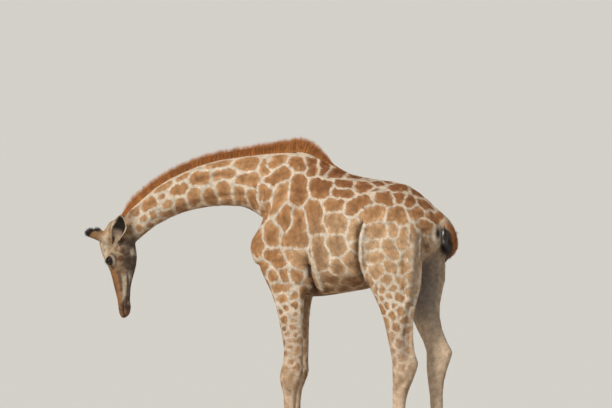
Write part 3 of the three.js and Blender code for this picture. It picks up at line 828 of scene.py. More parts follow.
# %% How far inside its patch a point lies
def wobble(square):
    """Moves places about a little, so that the edges of patches waver."""
    chance = np.random.default_rng(7)
    waves = np.zeros_like(square)
    for length, height in ((0.085, 0.0065), (0.041, 0.0035), (0.019, 0.0016)):
        for axis in range(3):
            way = chance.normal(size=3)
            way /= np.linalg.norm(way)
            phase = chance.uniform(0, 2 * np.pi)
            waves[:, axis] += height * np.sin(square @ way * 2 * np.pi / length + phase)
    return square + waves


def cloud_of(places, length, seed):
    """Smooth chance between about -1 and 1, in clouds of the given length."""
    chance = np.random.default_rng(seed)
    total = np.zeros(len(places))
    for _ in range(7):
        way = chance.normal(size=3)
        way *= 2 * np.pi / (length * chance.uniform(0.7, 1.6) * np.linalg.norm(way))
        total += np.sin(places @ way + chance.uniform(0, 2 * np.pi))
    return total / 3


def half_line(square):
    """Half the width of the pale lines."""
    x, _, z = square.T
    width = 0.0103 + 0.003 * ramp(-x, 0.65, 0.9) - 0.001 * ramp(x, 0.1, 0.3)
    width += 0.0015 * ramp(-z, -1.6, -1.4) * (x > -0.7)
    return np.where((x < -1.66) & (z < 1.93), 0.0065, width)


def patches(square, facing):
    """Metres inside the nearest patch's edge, and that patch's tone."""
    points = with_facing(wobble(square), facing).astype(np.float32)
    inside = np.empty(len(points), np.float32)
    tone = np.empty(len(points), np.float32)
    seed_square = np.sum(seed_table**2, axis=1)
    for start in range(0, len(points), 16000):
        part = points[start : start + 16000]
        away = np.sum(part**2, axis=1)[:, None] + seed_square - 2 * part @ seed_table.T
        away = np.minimum.reduceat(away, first_seed, axis=1)
        nearest = np.argmin(away, axis=1)
        three = np.sqrt(np.maximum(np.partition(away, 2, axis=1)[:, :3], 0))
        three.sort(axis=1)
        second, third = (three[:, 1] - three[:, 0]) / 2, (three[:, 2] - three[:, 0]) / 2
        soft = 0.004
        both = second - soft * np.log1p(np.exp((second - third) / soft))
        inside[start : start + 16000] = both + soft * 0.5
        tone[start : start + 16000] = patch_tone[nearest]
    return inside - half_line(square), tone


# %% [markdown]
# ## Fewer faces where the skin is plain
# The skin is thinned to the faces that its shape and markings need: finest on the head and the ears,
# fine along the edges of the patches, and coarse inside them.

# %% Thin the skin
SKIN_FACES = 150_000
places = read_points(skin)
square = level(places)
inside, tone = patches(square, broad_facing(read_points(skin)))
on_head = ramp(-square[:, 0], 1.62, 1.7)
near_edge = 1 - ramp(np.abs(inside), 0.006, 0.022)
marked = near_edge * ramp(square[:, 2], 0.7, 1.0)
fineness = np.maximum(np.maximum(0.14, 0.46 * marked), 0.62 * on_head)
fineness = np.maximum(fineness, 0.22 * ramp(-square[:, 2], -0.9, -0.7))
holder = new_object("skin", skin)
group = holder.vertex_groups.new(name="plain")
levels = np.round((1 - fineness) * 24).astype(int)
for step in np.unique(levels):
    group.add(np.flatnonzero(levels == step).tolist(), step / 24, "REPLACE")
thinner = holder.modifiers.new("thin", "DECIMATE")
thinner.ratio = SKIN_FACES / (2 * len(places))
thinner.vertex_group = "plain"
thinner.vertex_group_factor = 1.0
thinner.use_collapse_triangulate = True
thinned = bpy.data.meshes.new_from_object(holder.evaluated_get(bpy.context.evaluated_depsgraph_get()))
bpy.data.objects.remove(holder)
skin = thinned
print("thinned skin", len(skin.vertices), "points", len(skin.polygons), "faces")

# %% [markdown]
# ## The eyes' places
# A giraffe's eye looks sideways and a little forwards, and opens as an almond 57 by 35 degrees to
# either side of its line of sight. Around it, points are measured by their angles from that line.

# %% The eyes' places
EYE_SIGHT_FORWARD = 0.22
LID_LONG = math.radians(57)
LID_HIGH = math.radians(35)
BALL_RADIUS = 0.0245
EYE_APART = 0.0915


def eye_axes(sign):
    """The middle of an eye, its line of sight, and its long and short axes."""
    centre = in_head(EYE_SHARE, EYE_OUT, sign * EYE_APART)
    sight = np.array([0, sign, 0]) + EYE_SIGHT_FORWARD * forehead - 0.06 * lengthwise
    sight /= np.linalg.norm(sight)
    long = lengthwise + 0.22 * forehead
    long -= long @ sight * sight
    long /= np.linalg.norm(long)
    return centre, sight, long, np.cross(sight, long) * sign


def round_the_eye(places, sign):
    """From an eye's middle: the way to each place, how far ahead it is, and 1 at the lids' edge."""
    centre, sight, long, high = eye_axes(sign)
    away = places - centre
    ahead = away @ sight
    along = np.arctan2(away @ long, ahead)
    over = np.arctan2(away @ high, ahead)
    almond = (np.abs(along) / LID_LONG) ** 2 + (np.abs(over) / LID_HIGH) ** 1.7
    return away, ahead, np.sqrt(almond)


# %% [markdown]
# ## Bones and folds of the face
# The face is worked with strokes too, as paths in the head's own frame: hollows above and behind the
# eye, the crest of the cheek, the jaw muscle, the nostril, the mouth and the lips.

# %% Strokes on the face
NOSTRIL = [0.862, 0.03, 0.034, 0.885, 0.024, 0.041, 0.905, 0.012, 0.046]
MOUTH = [0.99, -0.008, 0.0, 0.965, -0.008, 0.03, 0.9, -0.012, 0.045, 0.815, -0.02, 0.045]
# Each row is how far out in mm, how wide in mm, and the path as share, metres out and metres from the middle.
HEAD_STROKES = [
    (-7, 26, [0.25, 0.045, 0.082, 0.2, 0.05, 0.078]),  # hollow behind the eye
    (6, 15, [0.46, 0.022, 0.075, 0.58, 0.014, 0.058, 0.68, 0.008, 0.046]),  # crest of the cheek
    (-5, 18, [0.5, 0.055, 0.052, 0.7, 0.036, 0.036]),  # side of the nose
    (-4, 14, [0.52, -0.015, 0.066, 0.7, -0.015, 0.052]),
    (5, 42, [0.36, -0.055, 0.066]),  # jaw muscle
    (-4, 18, [0.5, -0.035, 0.062, 0.62, -0.02, 0.052]),
    (-3, 12, [0.7, -0.012, 0.046, 0.82, -0.012, 0.042]),
    (5, 15, [0.84, 0.026, 0.036, 0.93, 0.02, 0.036]),  # wing of the nostril
    (-12, 5, NOSTRIL),
    (3, 6, [0.86, 0.02, 0.042, 0.885, 0.01, 0.048]),
    (-9, 5, MOUTH),
    (6, 13, [0.985, 0.01, 0.012, 0.965, 0.008, 0.034, 0.9, 0.004, 0.046]),  # upper lip
    (5, 9, [0.95, -0.024, 0.02, 0.9, -0.029, 0.038]),  # lower lip
    (7, 18, [0.895, -0.048, 0.0]),  # chin
    (-7, 18, [0.81, -0.055, 0.0, 0.81, -0.045, 0.03]),  # behind the chin
    (7, 24, [0.085, 0.1, 0.0, 0.2, 0.145, 0.0]),  # middle of the forehead
    (5, 26, [0.3, 0.135, 0.0, 0.42, 0.1, 0.0]),
    (8, 20, [0.15, -0.012, 0.075, 0.19, -0.03, 0.085]),  # collar of the ear
    (-7, 16, [0.24, -0.02, 0.085, 0.2, -0.065, 0.08]),  # behind the jaw
    (3, 14, [0.31, 0.085, 0.078, 0.36, 0.098, 0.078, 0.43, 0.088, 0.074]),  # brow
    (-2.5, 7, [0.33, 0.02, 0.1, 0.385, 0.008, 0.103, 0.44, 0.02, 0.093]),  # fold below the eye
]


def head_places(places):
    """Share of the head's length, metres out through the forehead, and metres from the middle."""
    away = places - POLL
    return away @ lengthwise / HEAD_LENGTH, away @ forehead, away[:, 1]


def on_half_head(places):
    """Metres down the head, out through the forehead and away from the middle plane."""
    share, out, across = head_places(places)
    return np.stack([share * HEAD_LENGTH, out, np.abs(across)], 1)


def in_metres(path):
    return np.array(path, float).reshape(-1, 3) * [HEAD_LENGTH, 1, 1]


print(len(HEAD_STROKES), "strokes on each side of the face")

# %% [markdown]
# The face needs finer clay where the eyes open, the nostrils fold in and the lips meet, so the skin is
# divided there first, twice, the second time nearer in.

# %% Divide the face where it is finest
finer = bmesh.new()
finer.from_mesh(skin)
for reach in (1.0, 0.55):
    finer.verts.ensure_lookup_table()
    places = np.array([v.co for v in finer.verts])
    half = on_half_head(places)
    eye_middle = [EYE_SHARE * HEAD_LENGTH, EYE_OUT, 0.098]
    chosen = np.linalg.norm(half - eye_middle, axis=1) < 0.052 * reach**0.3
    chosen |= off_path(half, in_metres(NOSTRIL)) < 0.02 * reach
    chosen |= off_path(half, in_metres(MOUTH)) < 0.016 * reach
    edges = [e for e in finer.edges if chosen[e.verts[0].index] and chosen[e.verts[1].index]]
    bmesh.ops.subdivide_edges(finer, edges=edges, cuts=1, use_grid_fill=True)
    bmesh.ops.triangulate(finer, faces=[f for f in finer.faces if len(f.verts) > 3])
finer.to_mesh(skin)
finer.free()
print("with a finer face", len(skin.vertices), "points", len(skin.polygons), "faces")

# %% [markdown]
# Points inside the almond of an eye are pushed back behind the eyeball. Those just outside it are laid
# on the ball as lids 3 mm thick, with a crease behind them.

# %% Work the face and cut the lids
LID_THICK = 0.0032
LID_FOLD = 0.0012
CREASE_DEPTH = 0.0022
EYE_SOCKET = 0.006  # how far behind the ball's face the skin inside the almond lies
places = read_points(skin)
normals = read_normals(skin)
face = ramp(-(places[:, 0] - ORIGIN[0]), 1.6, 1.68)
face_strokes = [(out, wide, in_metres(path)) for out, wide, path in HEAD_STROKES]
push = pushed(on_half_head(places), face_strokes)
places = places + normals * (push * face)[:, None]
write_points(skin, places)
for sign in SIDES.values():
    centre = eye_axes(sign)[0]
    away, ahead, almond = round_the_eye(places, sign)
    radius = np.linalg.norm(away, axis=1)
    behind = 1 - ramp(almond, 0.9, 1.0)
    lid = ramp(almond, 0.93, 1.0) * (1 - ramp(almond, 1.25, 1.9))
    crease = np.exp(-(((almond - 1.42) / 0.13) ** 2))
    wanted = np.maximum(radius, BALL_RADIUS + LID_THICK)
    laid = radius + (wanted - radius) * lid + LID_FOLD * lid - CREASE_DEPTH * crease
    laid = laid + (BALL_RADIUS - EYE_SOCKET - laid) * behind
    round_eye = (ahead > 0.002) & (radius < 0.06)
    change = np.where(round_eye, laid / np.maximum(radius, 1e-6), 1.0)
    places = centre + away * change[:, None]
    print("lids laid on", round_eye.sum(), "points")
write_points(skin, places)

# %% [markdown]
# ## Which way the hair lies
# Hair lies down the face, back along the neck and the trunk, down the legs and along the tail. A few
# straight bones inside the body carry these directions, and each point of the skin follows the
# bones nearest to it.

# %% Lie of the hair
TAIL_RUN = [
    (0.59, 0.0, 2.08), (0.665, 0.004, 2.04), (0.728, 0.016, 1.98), (0.764, 0.044, 1.905),
    (0.76, 0.096, 1.832), (0.712, 0.174, 1.775), (0.64, 0.256, 1.735), (0.566, 0.318, 1.672),
    (0.526, 0.34, 1.565), (0.518, 0.344, 1.47),
]
NECK_RUN = [
    (-1.74, 0, 1.98), (-1.55, 0, 2.03), (-1.25, 0, 2.18), (-1.05, 0, 2.24), (-0.83, 0, 2.25),
    (-0.62, 0, 2.2), (-0.5, 0, 2.05), (-0.42, 0, 1.9),
]
BACK_RUN = [(-0.45, 0, 2.35), (-0.1, 0, 2.25), (0.35, 0, 2.16), (0.62, 0, 2.0)]
BELLY_RUN = [(-0.4, 0, 1.62), (0.0, 0, 1.6), (0.35, 0, 1.66)]


def bones():
    """Start, end and direction of each bone, in level places of the animal's own frame."""
    found = []
    for run in (NECK_RUN, BACK_RUN, BELLY_RUN, TAIL_RUN):
        found += list(zip(run[:-1], run[1:]))
    face = [tuple(in_head(share, 0.0) - ORIGIN) for share in (0.05, 0.5, 1.0)]
    found += list(zip(face[:-1], face[1:]))
    for sign in SIDES.values():
        fore = [(-0.44, 0.16 * sign, 1.75), (-0.41, 0.16 * sign, 1.2), (-0.42, 0.15 * sign, 0.05)]
        hind = [(0.42, 0.16 * sign, 1.95), (0.43, 0.16 * sign, 1.3), (0.45, 0.15 * sign, 0.05)]
        shoulder = [(-0.36, 0.2 * sign, 2.25), (-0.42, 0.2 * sign, 1.8)]
        hip = [(0.4, 0.2 * sign, 2.15), (0.44, 0.2 * sign, 1.8)]
        for run in (fore, hind, shoulder, hip):
            found += list(zip(run[:-1], run[1:]))
        root, up, _, _ = ear_axes(sign)
        found.append((tuple(root - ORIGIN), tuple(root - ORIGIN + up * EAR_LENGTH)))
    return np.array(found)


def lie_of_hair(square, normals):
    total = np.zeros_like(square)
    for start, end in bones():
        run = end - start
        t = np.clip((square - start) @ run / (run @ run), 0, 1)
        away = np.sum((square - start - t[:, None] * run) ** 2, axis=1)
        total += (run / np.linalg.norm(run)) / (away[:, None] + 0.0004) ** 2
    total -= np.sum(total * normals, axis=1)[:, None] * normals
    return total / np.maximum(np.linalg.norm(total, axis=1), 1e-9)[:, None]


# %% [markdown]
# ## Colours of the coat
# The ground is cream and the patches are tan. Each rule below names a colour and says how strongly it
# covers the ground and the patches at each place, so the coat is coloured as with thin washes of
# paint, from the broad ones to the small. What the rules ask about a place is kept in one object.

# %% What a colour rule can ask
GROUND = "#cabdab"
PATCH = "#a3764c"


class Hide:
    """Places on the coat, what the rules ask about them, and the colours that they have so far."""

    def __init__(self, places, normals, inside, tone):
        self.places = places
        self.normals = normals
        self.square = level(places)
        self.side = self.square[:, [0, 2]]
        self.share, self.out, self.across = head_places(places)
        self.head = ramp(-self.square[:, 0], 1.6, 1.68) * (self.square[:, 2] < 2.05)
        self.inside = inside
        self.tone = tone
        self.ground = np.tile(np.array(linear(GROUND)[:3]), (len(places), 1))
        self.patch = np.tile(np.array(linear(PATCH)[:3]), (len(places), 1))

    def wash(self, weight, ground=None, patch=None):
        """Covers the ground with one colour and the patches with another."""
        weight = np.clip(weight, 0, 1)[:, None]
        for colours, code in ((self.ground, ground), (self.patch, patch)):
            if code:
                colours += (np.array(linear(code)[:3]) - colours) * weight

    def spot(self, at, reach, weight, ground=None, patch=None):
        """Covers the head near a share of its length and a distance out, on both sides."""
        away = np.hypot((self.share - at[0]) * HEAD_LENGTH, self.out - at[1])
        self.wash(weight * self.head * (1 - ramp(away, reach * 0.4, reach)), ground, patch)


def near(square, centre, reach, flat=False):
    """1 at a place of the animal's side and 0 beyond reach of it."""
    away = square - np.array(centre)
    if flat:
        away = away[:, [0, 2]]
    return 1 - ramp(np.linalg.norm(away, axis=1), reach * 0.35, reach)


# %% [markdown]
# The patches are darker and redder along the back, greyer over the ribs and paler on the thigh. The
# ground is greyer on the legs and mottled on the shanks. The belly, the underside of the neck and the
# inner sides of the legs are darkened with painted shade, deepest on the forelegs' inner sides above
# the knees; the inner hind legs and the backs of the thighs are painted grey and plain as shade.


# %% Back, legs and undersides
def wash_body(hide):
    square, normals = hide.square, hide.normals
    x, y, z = square.T
    backline = 2.33 - 0.18 * ramp(x, 0.3, 0.8) + 0.1 * ramp(-x, -0.1, 0.3)
    over_back = ramp(z, backline - 0.3, backline) * ramp(x, -0.5, -0.2)
    hide.wash(0.85 * over_back, patch="#7b4928")
    hide.wash(0.5 * over_back, "#b9a186")
    hide.wash(0.9 * ramp(-x, 0.62, 0.85), patch="#a87c52")
    hide.wash(0.8 * near(square, (0.0, 0, 1.75), 0.45, flat=True), patch="#9c7f60")
    hide.wash(0.8 * near(square, (0.42, 0, 1.72), 0.42, flat=True), patch="#ab8a67")
    hide.wash(0.6 * ramp(-x, 0.62, 0.85), "#cdbfab")
    hide.legs = ramp(-z, -1.5, -1.2) * (x > -0.8)
    shanks = ramp(-z, -1.1, -0.85) * (x > -0.8)
    hide.wash(hide.legs, "#b9a692")
    hide.wash(shanks, "#bea68c")
    hide.wash(0.7 * shanks * np.clip(0.15 + cloud_of(square, 0.075, 3), 0, 1), "#7d6148")
    hide.wash(0.9 * hide.legs, patch="#876648")
    # Painted shade: the underside of the belly and of the neck are darkened.
    belly_shade = ramp(-normals[:, 2], 0.15, 0.75) * (x > -0.66) * ramp(z, 1.3, 1.45)
    hide.wash(belly_shade, "#a98b6c", "#7f5b3d")
    under_neck_shade = ramp(-normals[:, 2], 0.1, 0.7) * ramp(-x, 0.66, 0.75) * (1 - hide.head)
    hide.wash(0.8 * under_neck_shade, "#b3977b", "#7d5639")
    # Painted shade: the legs' inner sides, darker on the forelegs above the knees and grey on the inner hind
    # legs.
    hide.inner = ramp(-normals[:, 1] * np.sign(y), 0.2, 0.7) * (z < 1.75) * (x > -0.7)
    hide.wash(hide.inner, "#c4ac92", "#9a7a5b")
    fore_inner_shade = hide.inner * ramp(-x, 0.1, 0.2) * ramp(z, 0.95, 1.25)
    hide.wash(0.8 * fore_inner_shade, "#8f7157", "#6b4a33")
    hide.hind_inner = hide.inner * ramp(x, 0.1, 0.2)
    hide.wash(hide.hind_inner * ramp(z, 1.12, 1.42), "#83786e")
    # Painted shade: the backs of the thighs are greyer, with fainter patches.
    hide.rear = ramp(normals[:, 0], 0.1, 0.7) * ramp(x, 0.5, 0.6) * ramp(-z, -1.98, -1.8)
    hide.wash(0.8 * hide.rear, "#b9a189")
    hide.wash(0.6 * hide.rear, patch="#a08465")


# %% [markdown]
# Where skin folds over itself, behind the elbow and in front of the thigh, the fold is pale and has no
# markings. So has a band a few centimetres wide along the foot of the mane.

# %% Pale folds and the foot of the mane
PALE_ELBOW = [-0.204, 1.86, -0.178, 1.74, -0.16, 1.62, -0.15, 1.5]
PALE_THIGH = [0.212, 1.97, 0.195, 1.88, 0.189, 1.7, 0.203, 1.58]
crest_line = []
for x in np.linspace(-1.8, -0.03, 60):
    crest_line.append(body_tree.ray_cast(Vector(on_body(x, 0, 3.0)), Vector((0, 0, -1)), 2.0)[0])


def off_crest(places):
    """Metres from the line that the mane stands on."""
    nearest = np.full(len(places), 9.0)
    for start in np.array(crest_line):
        nearest = np.minimum(nearest, np.linalg.norm(places - start, axis=1))
    return nearest


def wash_folds(hide):
    x = hide.square[:, 0]
    elbow_fold = 1 - ramp(off_path(hide.side, PALE_ELBOW), 0.008, 0.016)
    thigh_edge = 1 - ramp(off_path(hide.side, PALE_THIGH), 0.008, 0.016)
    hide.inside = hide.inside - 0.03 * np.maximum(elbow_fold, thigh_edge) * (1 - hide.inner)
    hide.wash(elbow_fold, "#c3b19a")
    foot = off_crest(hide.places) + 0.006 * cloud_of(hide.square, 0.06, 4)
    under_mane = 1 - ramp(foot, 0.034, 0.052)
    hide.inside = hide.inside - 0.04 * under_mane * ramp(-x, 0.22, 0.34) * ramp(x, -1.66, -1.58)
    hide.wash(0.8 * under_mane, "#cfbda3")


# %% [markdown]
# Each patch has its own tone, is darkest in its middle and is clouded with darker hair. The painted
# shade in the furrows and the armpit comes after that, because no patch lightens it: the furrows are
# dark inside, and less so on the right.

# %% Tones and furrows
DEEP = np.array(linear("#633a1f")[:3])
PALE = np.array(linear("#cfae88")[:3])
# Painted shade along furrows: each row is a path, how dark it is, and how wide in metres.
FURROW_SHADE = [  # a path, how dark it is, and how wide in metres
    (ELBOW_FURROW, 0.75, 0.022),
    (ELBOW_FURROW[2:], 0.9, 0.022),
    (THIGH_FURROW, 0.6, 0.015),
    (REAR_FURROW, 0.5, 0.022),
    (HOCK_FURROW, 0.4, 0.022),
]


def wash_tones(hide):
    square = hide.square
    y = square[:, 1]
    clouds = 0.18 * cloud_of(square * [1, 1, 0.6], 0.045, 5)
    clouds = clouds + 0.1 * cloud_of(square * [1, 1, 0.35], 0.022, 8)
    dark = 0.38 * hide.tone + 0.44 * ramp(hide.inside, 0.006, 0.042) + clouds - 0.2
    dark = np.clip(dark, -0.5, 0.72)[:, None]
    hide.patch += np.where(dark > 0, (DEEP - hide.patch) * dark, (PALE - hide.patch) * -dark)
    outer = ramp(np.abs(y), 0.06, 0.11) * (1 - hide.inner)
    # Painted shade inside the furrows, and in the armpit below them.
    for path, deepest, reach in FURROW_SHADE:
        furrow_shade = outer * deepest * (1 - ramp(off_path(hide.side, path), 0.004, reach))
        hide.wash(furrow_shade * np.where(y > 0, 0.5, 1.0), "#453222", "#3d2a1c")
    armpit_shade = near(square, (-0.235, 0, 1.45), 0.085, flat=True) * (1 - hide.inner)
    hide.wash(0.8 * armpit_shade, "#6b4e38", "#553a27")


# %% [markdown]
# The head is tan, darkened with painted shade overall and more over the cheek, paler and mottled on
# the forehead, with small rufous spots on the cheek. The throat and the back of the jaw are dark with
# painted shade, and a painted highlight lies on the jaw muscle. Its patches are smaller and fainter
# than the body's.

# %% Forehead, cheek and throat
CHEEK_SPOTS = [
    ((0.29, -0.05), 0.02), ((0.365, -0.036), 0.021), ((0.395, -0.08), 0.022), ((0.47, -0.07), 0.015),
]


def wash_face(hide):
    share, out, head = hide.share, hide.out, hide.head
    # The head's own tan, darkened as painted shade.
    hide.wash(head, "#98836a", "#7c5c40")
    brow = head * ramp(out, 0.03, 0.09) * ramp(-share, -0.42, -0.3)
    hide.wash(0.8 * brow, "#b5a38c")
    hide.wash(0.55 * brow * np.clip(cloud_of(hide.square, 0.03, 11) - 0.1, 0, 1), "#7b6046")
    hide.wash(0.7 * head * (1 - ramp(share, 0.06, 0.16)) * ramp(out, 0.05, 0.09), "#b07b48")
    hide.inside = hide.inside - 0.007 * head
    # Painted shade over the middle of the cheek.
    hide.spot((0.42, -0.05), 0.1, 0.55, "#6f5841")
    for at, reach in CHEEK_SPOTS:
        away = np.hypot((share - at[0]) * HEAD_LENGTH, out - at[1]) + 0.004 * cloud_of(hide.square, 0.03, 6)
        hide.inside = np.where(head > 0.5, np.maximum(hide.inside, (reach - away) * 0.5), hide.inside)
        hide.spot(at, reach * 1.8, 0.9, patch="#512d18")
    # Painted shade along the throat and the back of the jaw, which turn from the light.
    throat_shade = head * ramp(hide.normals[:, 0], 0.0, 0.55)
    hide.wash(0.9 * throat_shade, "#4f433b")
    hide.wash(0.85 * throat_shade, patch="#43342b")
    # A painted highlight on the jaw muscle.
    hide.spot((0.31, -0.122), 0.04, 0.8, "#b8a995")
    hide.spot((0.31, -0.122), 0.036, 0.7, patch="#9d8468")


# %% [markdown]
# An orange-brown ridge runs down the nose. Beside it are two pale stripes with a dark crease between
# them, one on the cheek and one along the edge of the jaw, and the muzzle and the lips are dark. The
# slits of the nostrils and the line between the lips are near black, as painted shade.

# %% Nose and lips
STRIPE_SHARES = [0.5, 0.66, 0.8]
CREASE_OUT = [-0.064, -0.052, -0.034]
JAW_OUT = [-0.076, -0.064, -0.046]


def wash_nose(hide):
    share, out, head = hide.share, hide.out, hide.head
    ridge = head * ramp(share, 0.42, 0.5) * ramp(out, -0.012, 0.014)
    hide.wash(0.9 * ridge, "#885c35")
    middle = ramp(-np.abs(share - 0.66), -0.13, -0.03) * ramp(-np.abs(hide.across), -0.052, -0.02)
    hide.wash(0.85 * ridge * middle, "#54351f")
    crease = np.abs(out - np.interp(share, STRIPE_SHARES, CREASE_OUT))
    cheek_side = head * ramp(np.abs(hide.normals[:, 1]), 0.3, 0.6)
    stripe = cheek_side * ramp(share, 0.48, 0.56) * (1 - ramp(share, 0.78, 0.84)) * (1 - ridge)
    hide.wash(0.85 * stripe * (1 - ramp(crease, 0.02, 0.04)), "#b3a28d")
    hide.wash(0.9 * stripe * (1 - ramp(crease, 0.003, 0.01)), "#43332a")
    jaw_edge = np.interp(share, STRIPE_SHARES, JAW_OUT) - out
    jaw_stripe = head * ramp(jaw_edge, 0, 0.008) * ramp(share, 0.56, 0.62) * (1 - ramp(share, 0.74, 0.8))
    hide.wash(0.8 * jaw_stripe, "#a39180")
    hide.spot((0.445, 0.032), 0.03, 0.85, "#4c3626")
    hide.wash(0.8 * head * ramp(share, 0.8, 0.9), "#775336")
    hide.spot((0.86, -0.022), 0.046, 0.85, "#3f291b")
    hide.spot((0.8, -0.034), 0.034, 0.6, "#3f291b")
    hide.spot((0.84, -0.06), 0.03, 0.7, "#a08f7c")
    half = on_half_head(hide.places)
    mouth = off_path(half, in_metres(MOUTH))
    nostril = off_path(half, in_metres(NOSTRIL))
    # The lips' dark skin, near black along the line between them as painted shade.
    hide.wash(0.85 * head * (1 - ramp(mouth, 0.003, 0.014)), "#4d4037")
    hide.wash(0.95 * head * (1 - ramp(mouth, 0.0015, 0.004)), "#221813")
    # The nostrils' dark skin, near black in their slits as painted shade.
    hide.wash(0.7 * head * (1 - ramp(nostril, 0.006, 0.014)), "#5b4536")
    hide.wash(0.97 * head * (1 - ramp(nostril, 0.003, 0.006)), "#120c0a")


# %% [markdown]
# The lids are dark skin, set in a dark ring that is widened with painted shade round the eye, with a
# pale crescent behind them. An ear is pale at its rim and at its root inside, and its hollow is dark hair
# with painted shade, nearly black towards its tip inside; it is brown behind.


# %% Eyes and ears
def on_ear_leaf(places, normals, sign):
    """Along an ear from 0 to 1, how surely a point is on it, and how surely on its hollow side."""
    root, up, opening, across = ear_axes(sign)
    away = places - root
    along = away @ up / EAR_LENGTH
    middle = ear_half_width(np.clip(along, 0, 1)) / ear_roll(np.clip(along, 0, 1))
    wide = away @ across
    deep = middle * 0.6 - away @ opening
    angle = np.arctan2(wide, deep)
    room = ear_roll(np.clip(along, 0, 1)) - np.abs(angle)
    on_leaf = (np.abs(np.hypot(wide, deep) - middle) < 0.013) & (room > -0.25) & (along < 1.08)
    outward = across * np.sin(angle)[:, None] - opening * np.cos(angle)[:, None]
    hollow = ramp(-np.sum(normals * outward, axis=1), -0.1, 0.3)
    on_leaf = on_leaf * ramp(along, 0.1, 0.16)
    return along, on_leaf, on_leaf * hollow * ramp(room, 0.1, 0.34)


def wash_eyes_and_ears(hide):
    from_eye = hide.out - EYE_OUT
    along_eye = (hide.share - EYE_SHARE) * HEAD_LENGTH / 1.35
    beside = ramp(np.abs(hide.across), 0.05, 0.07)
    crescent = hide.head * beside * (1 - ramp(np.hypot(along_eye, from_eye + 0.012), 0.024, 0.033))
    lid = hide.head * (1 - ramp(np.hypot(along_eye, (from_eye + 0.003) * 1.2), 0.024, 0.031)) * beside
    hide.wash(0.75 * crescent, "#bcac97")
    hide.wash(0.8 * crescent, patch="#ab967d")
    # Dark lid skin, in a ring widened with painted shade round the eye.
    hide.wash(0.94 * lid, "#2a1e18")
    hide.wash(lid, patch="#2a1e18")
    for sign in SIDES.values():
        along, on_ear, shaded_hollow = on_ear_leaf(hide.places, hide.normals, sign)
        hide.wash(on_ear, "#c7b195")
        # The hollow's darker hair, with painted shade inside the cup, near black towards the tip.
        hide.wash(0.8 * shaded_hollow, "#7d6b5c")
        hide.wash(0.96 * shaded_hollow * ramp(-along, -0.96, -0.84) * ramp(along, 0.22, 0.45), "#130d0a")
        hide.wash(0.5 * on_ear * (1 - shaded_hollow) * ramp(-along, -0.5, -0.2), "#8a6748")
        hide.inside = hide.inside - 0.1 * on_ear


# %% [markdown]
# The tail is orange at its dock, and its inner side, turned to the rump, is painted near black as shade.
# The skin beneath it is pale, with the vent's dark skin and the shade of its hollow painted in. Last of
# all, the patches fade out below the knees and hocks, down the nose, behind the thighs and on the inner
# hind legs, where painted shade lies plain, and each place is told how soft the edge of its patch is:
# softer on the neck and softest on the legs.

# %% Tail, and where patches fade
VENT = (0.705, -0.045, 1.915)


def wash_tail(hide):
    square = hide.square
    x, y, z = square.T
    tail = 1 - ramp(off_path(square, TAIL_RUN), 0.05, 0.065)
    tail *= ramp(-z, -2.04, -1.96) * ramp(x + y, 0.66, 0.74)
    hide.wash(tail, "#9a6237")
    hide.wash(tail * ramp(y, 0.1, 0.25), "#6a4a33")
    # Painted shade: the tail's inner side, turned to the rump, is near black.
    tail_shade_side = ramp(-hide.normals[:, 0], 0.0, 0.5) * ramp(-z, -1.99, -1.93)
    hide.wash(0.95 * tail * tail_shade_side, "#2c2019")
    hide.inside = hide.inside - 0.1 * tail
    hide.inside = hide.inside - 0.05 * near(square, VENT, 0.085)
    hide.wash(0.8 * near(square, VENT, 0.085), "#d5c2a8")
    # The vent's dark bare skin, with painted shade of its hollow.
    hide.wash(0.95 * near(square, VENT, 0.052), "#2c2422")


def fade_patches(hide):
    x, _, z = hide.square.T
    fade = 0.22 + 0.78 * ramp(z, 0.6, 1.05) - 0.3 * ramp(-z, -1.32, -1.05) * (x > 0)
    fade = np.where(x < -0.8, 1.0, np.clip(fade, 0, 1))
    fade *= 1 - hide.head * (0.1 + 0.8 * ramp(hide.share, 0.5, 0.58))
    fade *= 1 - 0.8 * hide.head * ramp(hide.out, 0.035, 0.08)
    # Patches fade where painted shade lies plain: the inner hind legs and the backs of the thighs.
    fade *= 1 - 0.85 * hide.hind_inner - 0.6 * hide.rear * (1 - hide.hind_inner)
    hide.patch = hide.ground + (hide.patch - hide.ground) * fade[:, None]
    crisp = 0.58 - 0.08 * ramp(-x, 0.65, 0.9) - 0.14 * hide.legs + 0.05 * hide.head
    hide.depth = hide.inside * 1000 * crisp


# %% [markdown]
# A mesh carries the coat in four attributes: the ground's colour, the patches' colour, how many
# millimetres inside a patch each point lies, and which way its hair lies. The skin gets them here, and
# every tuft takes them from the skin at its root.


# %% Write the coat on the skin
def put(mesh, name, values, kind="FLOAT"):
    made = mesh.attributes.get(name) or mesh.attributes.new(name, kind, "POINT")
    key = {"FLOAT": "value", "FLOAT_COLOR": "color", "FLOAT_VECTOR": "vector"}[kind]
    made.data.foreach_set(key, np.asarray(values, np.float32).ravel())


def put_coat(mesh, ground, patch, depth, lie):
    for name, colours in (("ground", ground), ("patch", patch)):
        put(mesh, name, np.concatenate([colours, np.ones((len(colours), 1))], 1), "FLOAT_COLOR")
    put(mesh, "depth", depth)
    put(mesh, "lie", lie, "FLOAT_VECTOR")


places = read_points(skin)
normals = read_normals(skin)
square = level(places)
hide = Hide(places, normals, *patches(square, broad_facing(places)))
RULES = [wash_body, wash_folds, wash_tones, wash_face, wash_nose, wash_eyes_and_ears, wash_tail, fade_patches]
for rule in RULES:
    rule(hide)
put_coat(skin, hide.ground, hide.patch, hide.depth, lie_of_hair(square, normals))
print("inside patches", round(float((hide.depth > 0).mean()), 3), "of the skin's points")

# %% [markdown]
# ## The coat's finish
# One group of nodes gives the coat's colour to the skin and to every tuft: patch or ground, with an
# edge that frays by a few millimetres, and a fine grain of lighter and darker hairs. Real hairs
# are a tenth of a millimetre thick and are drawn as grain of 4 mm. The skin's bump has the same grain.

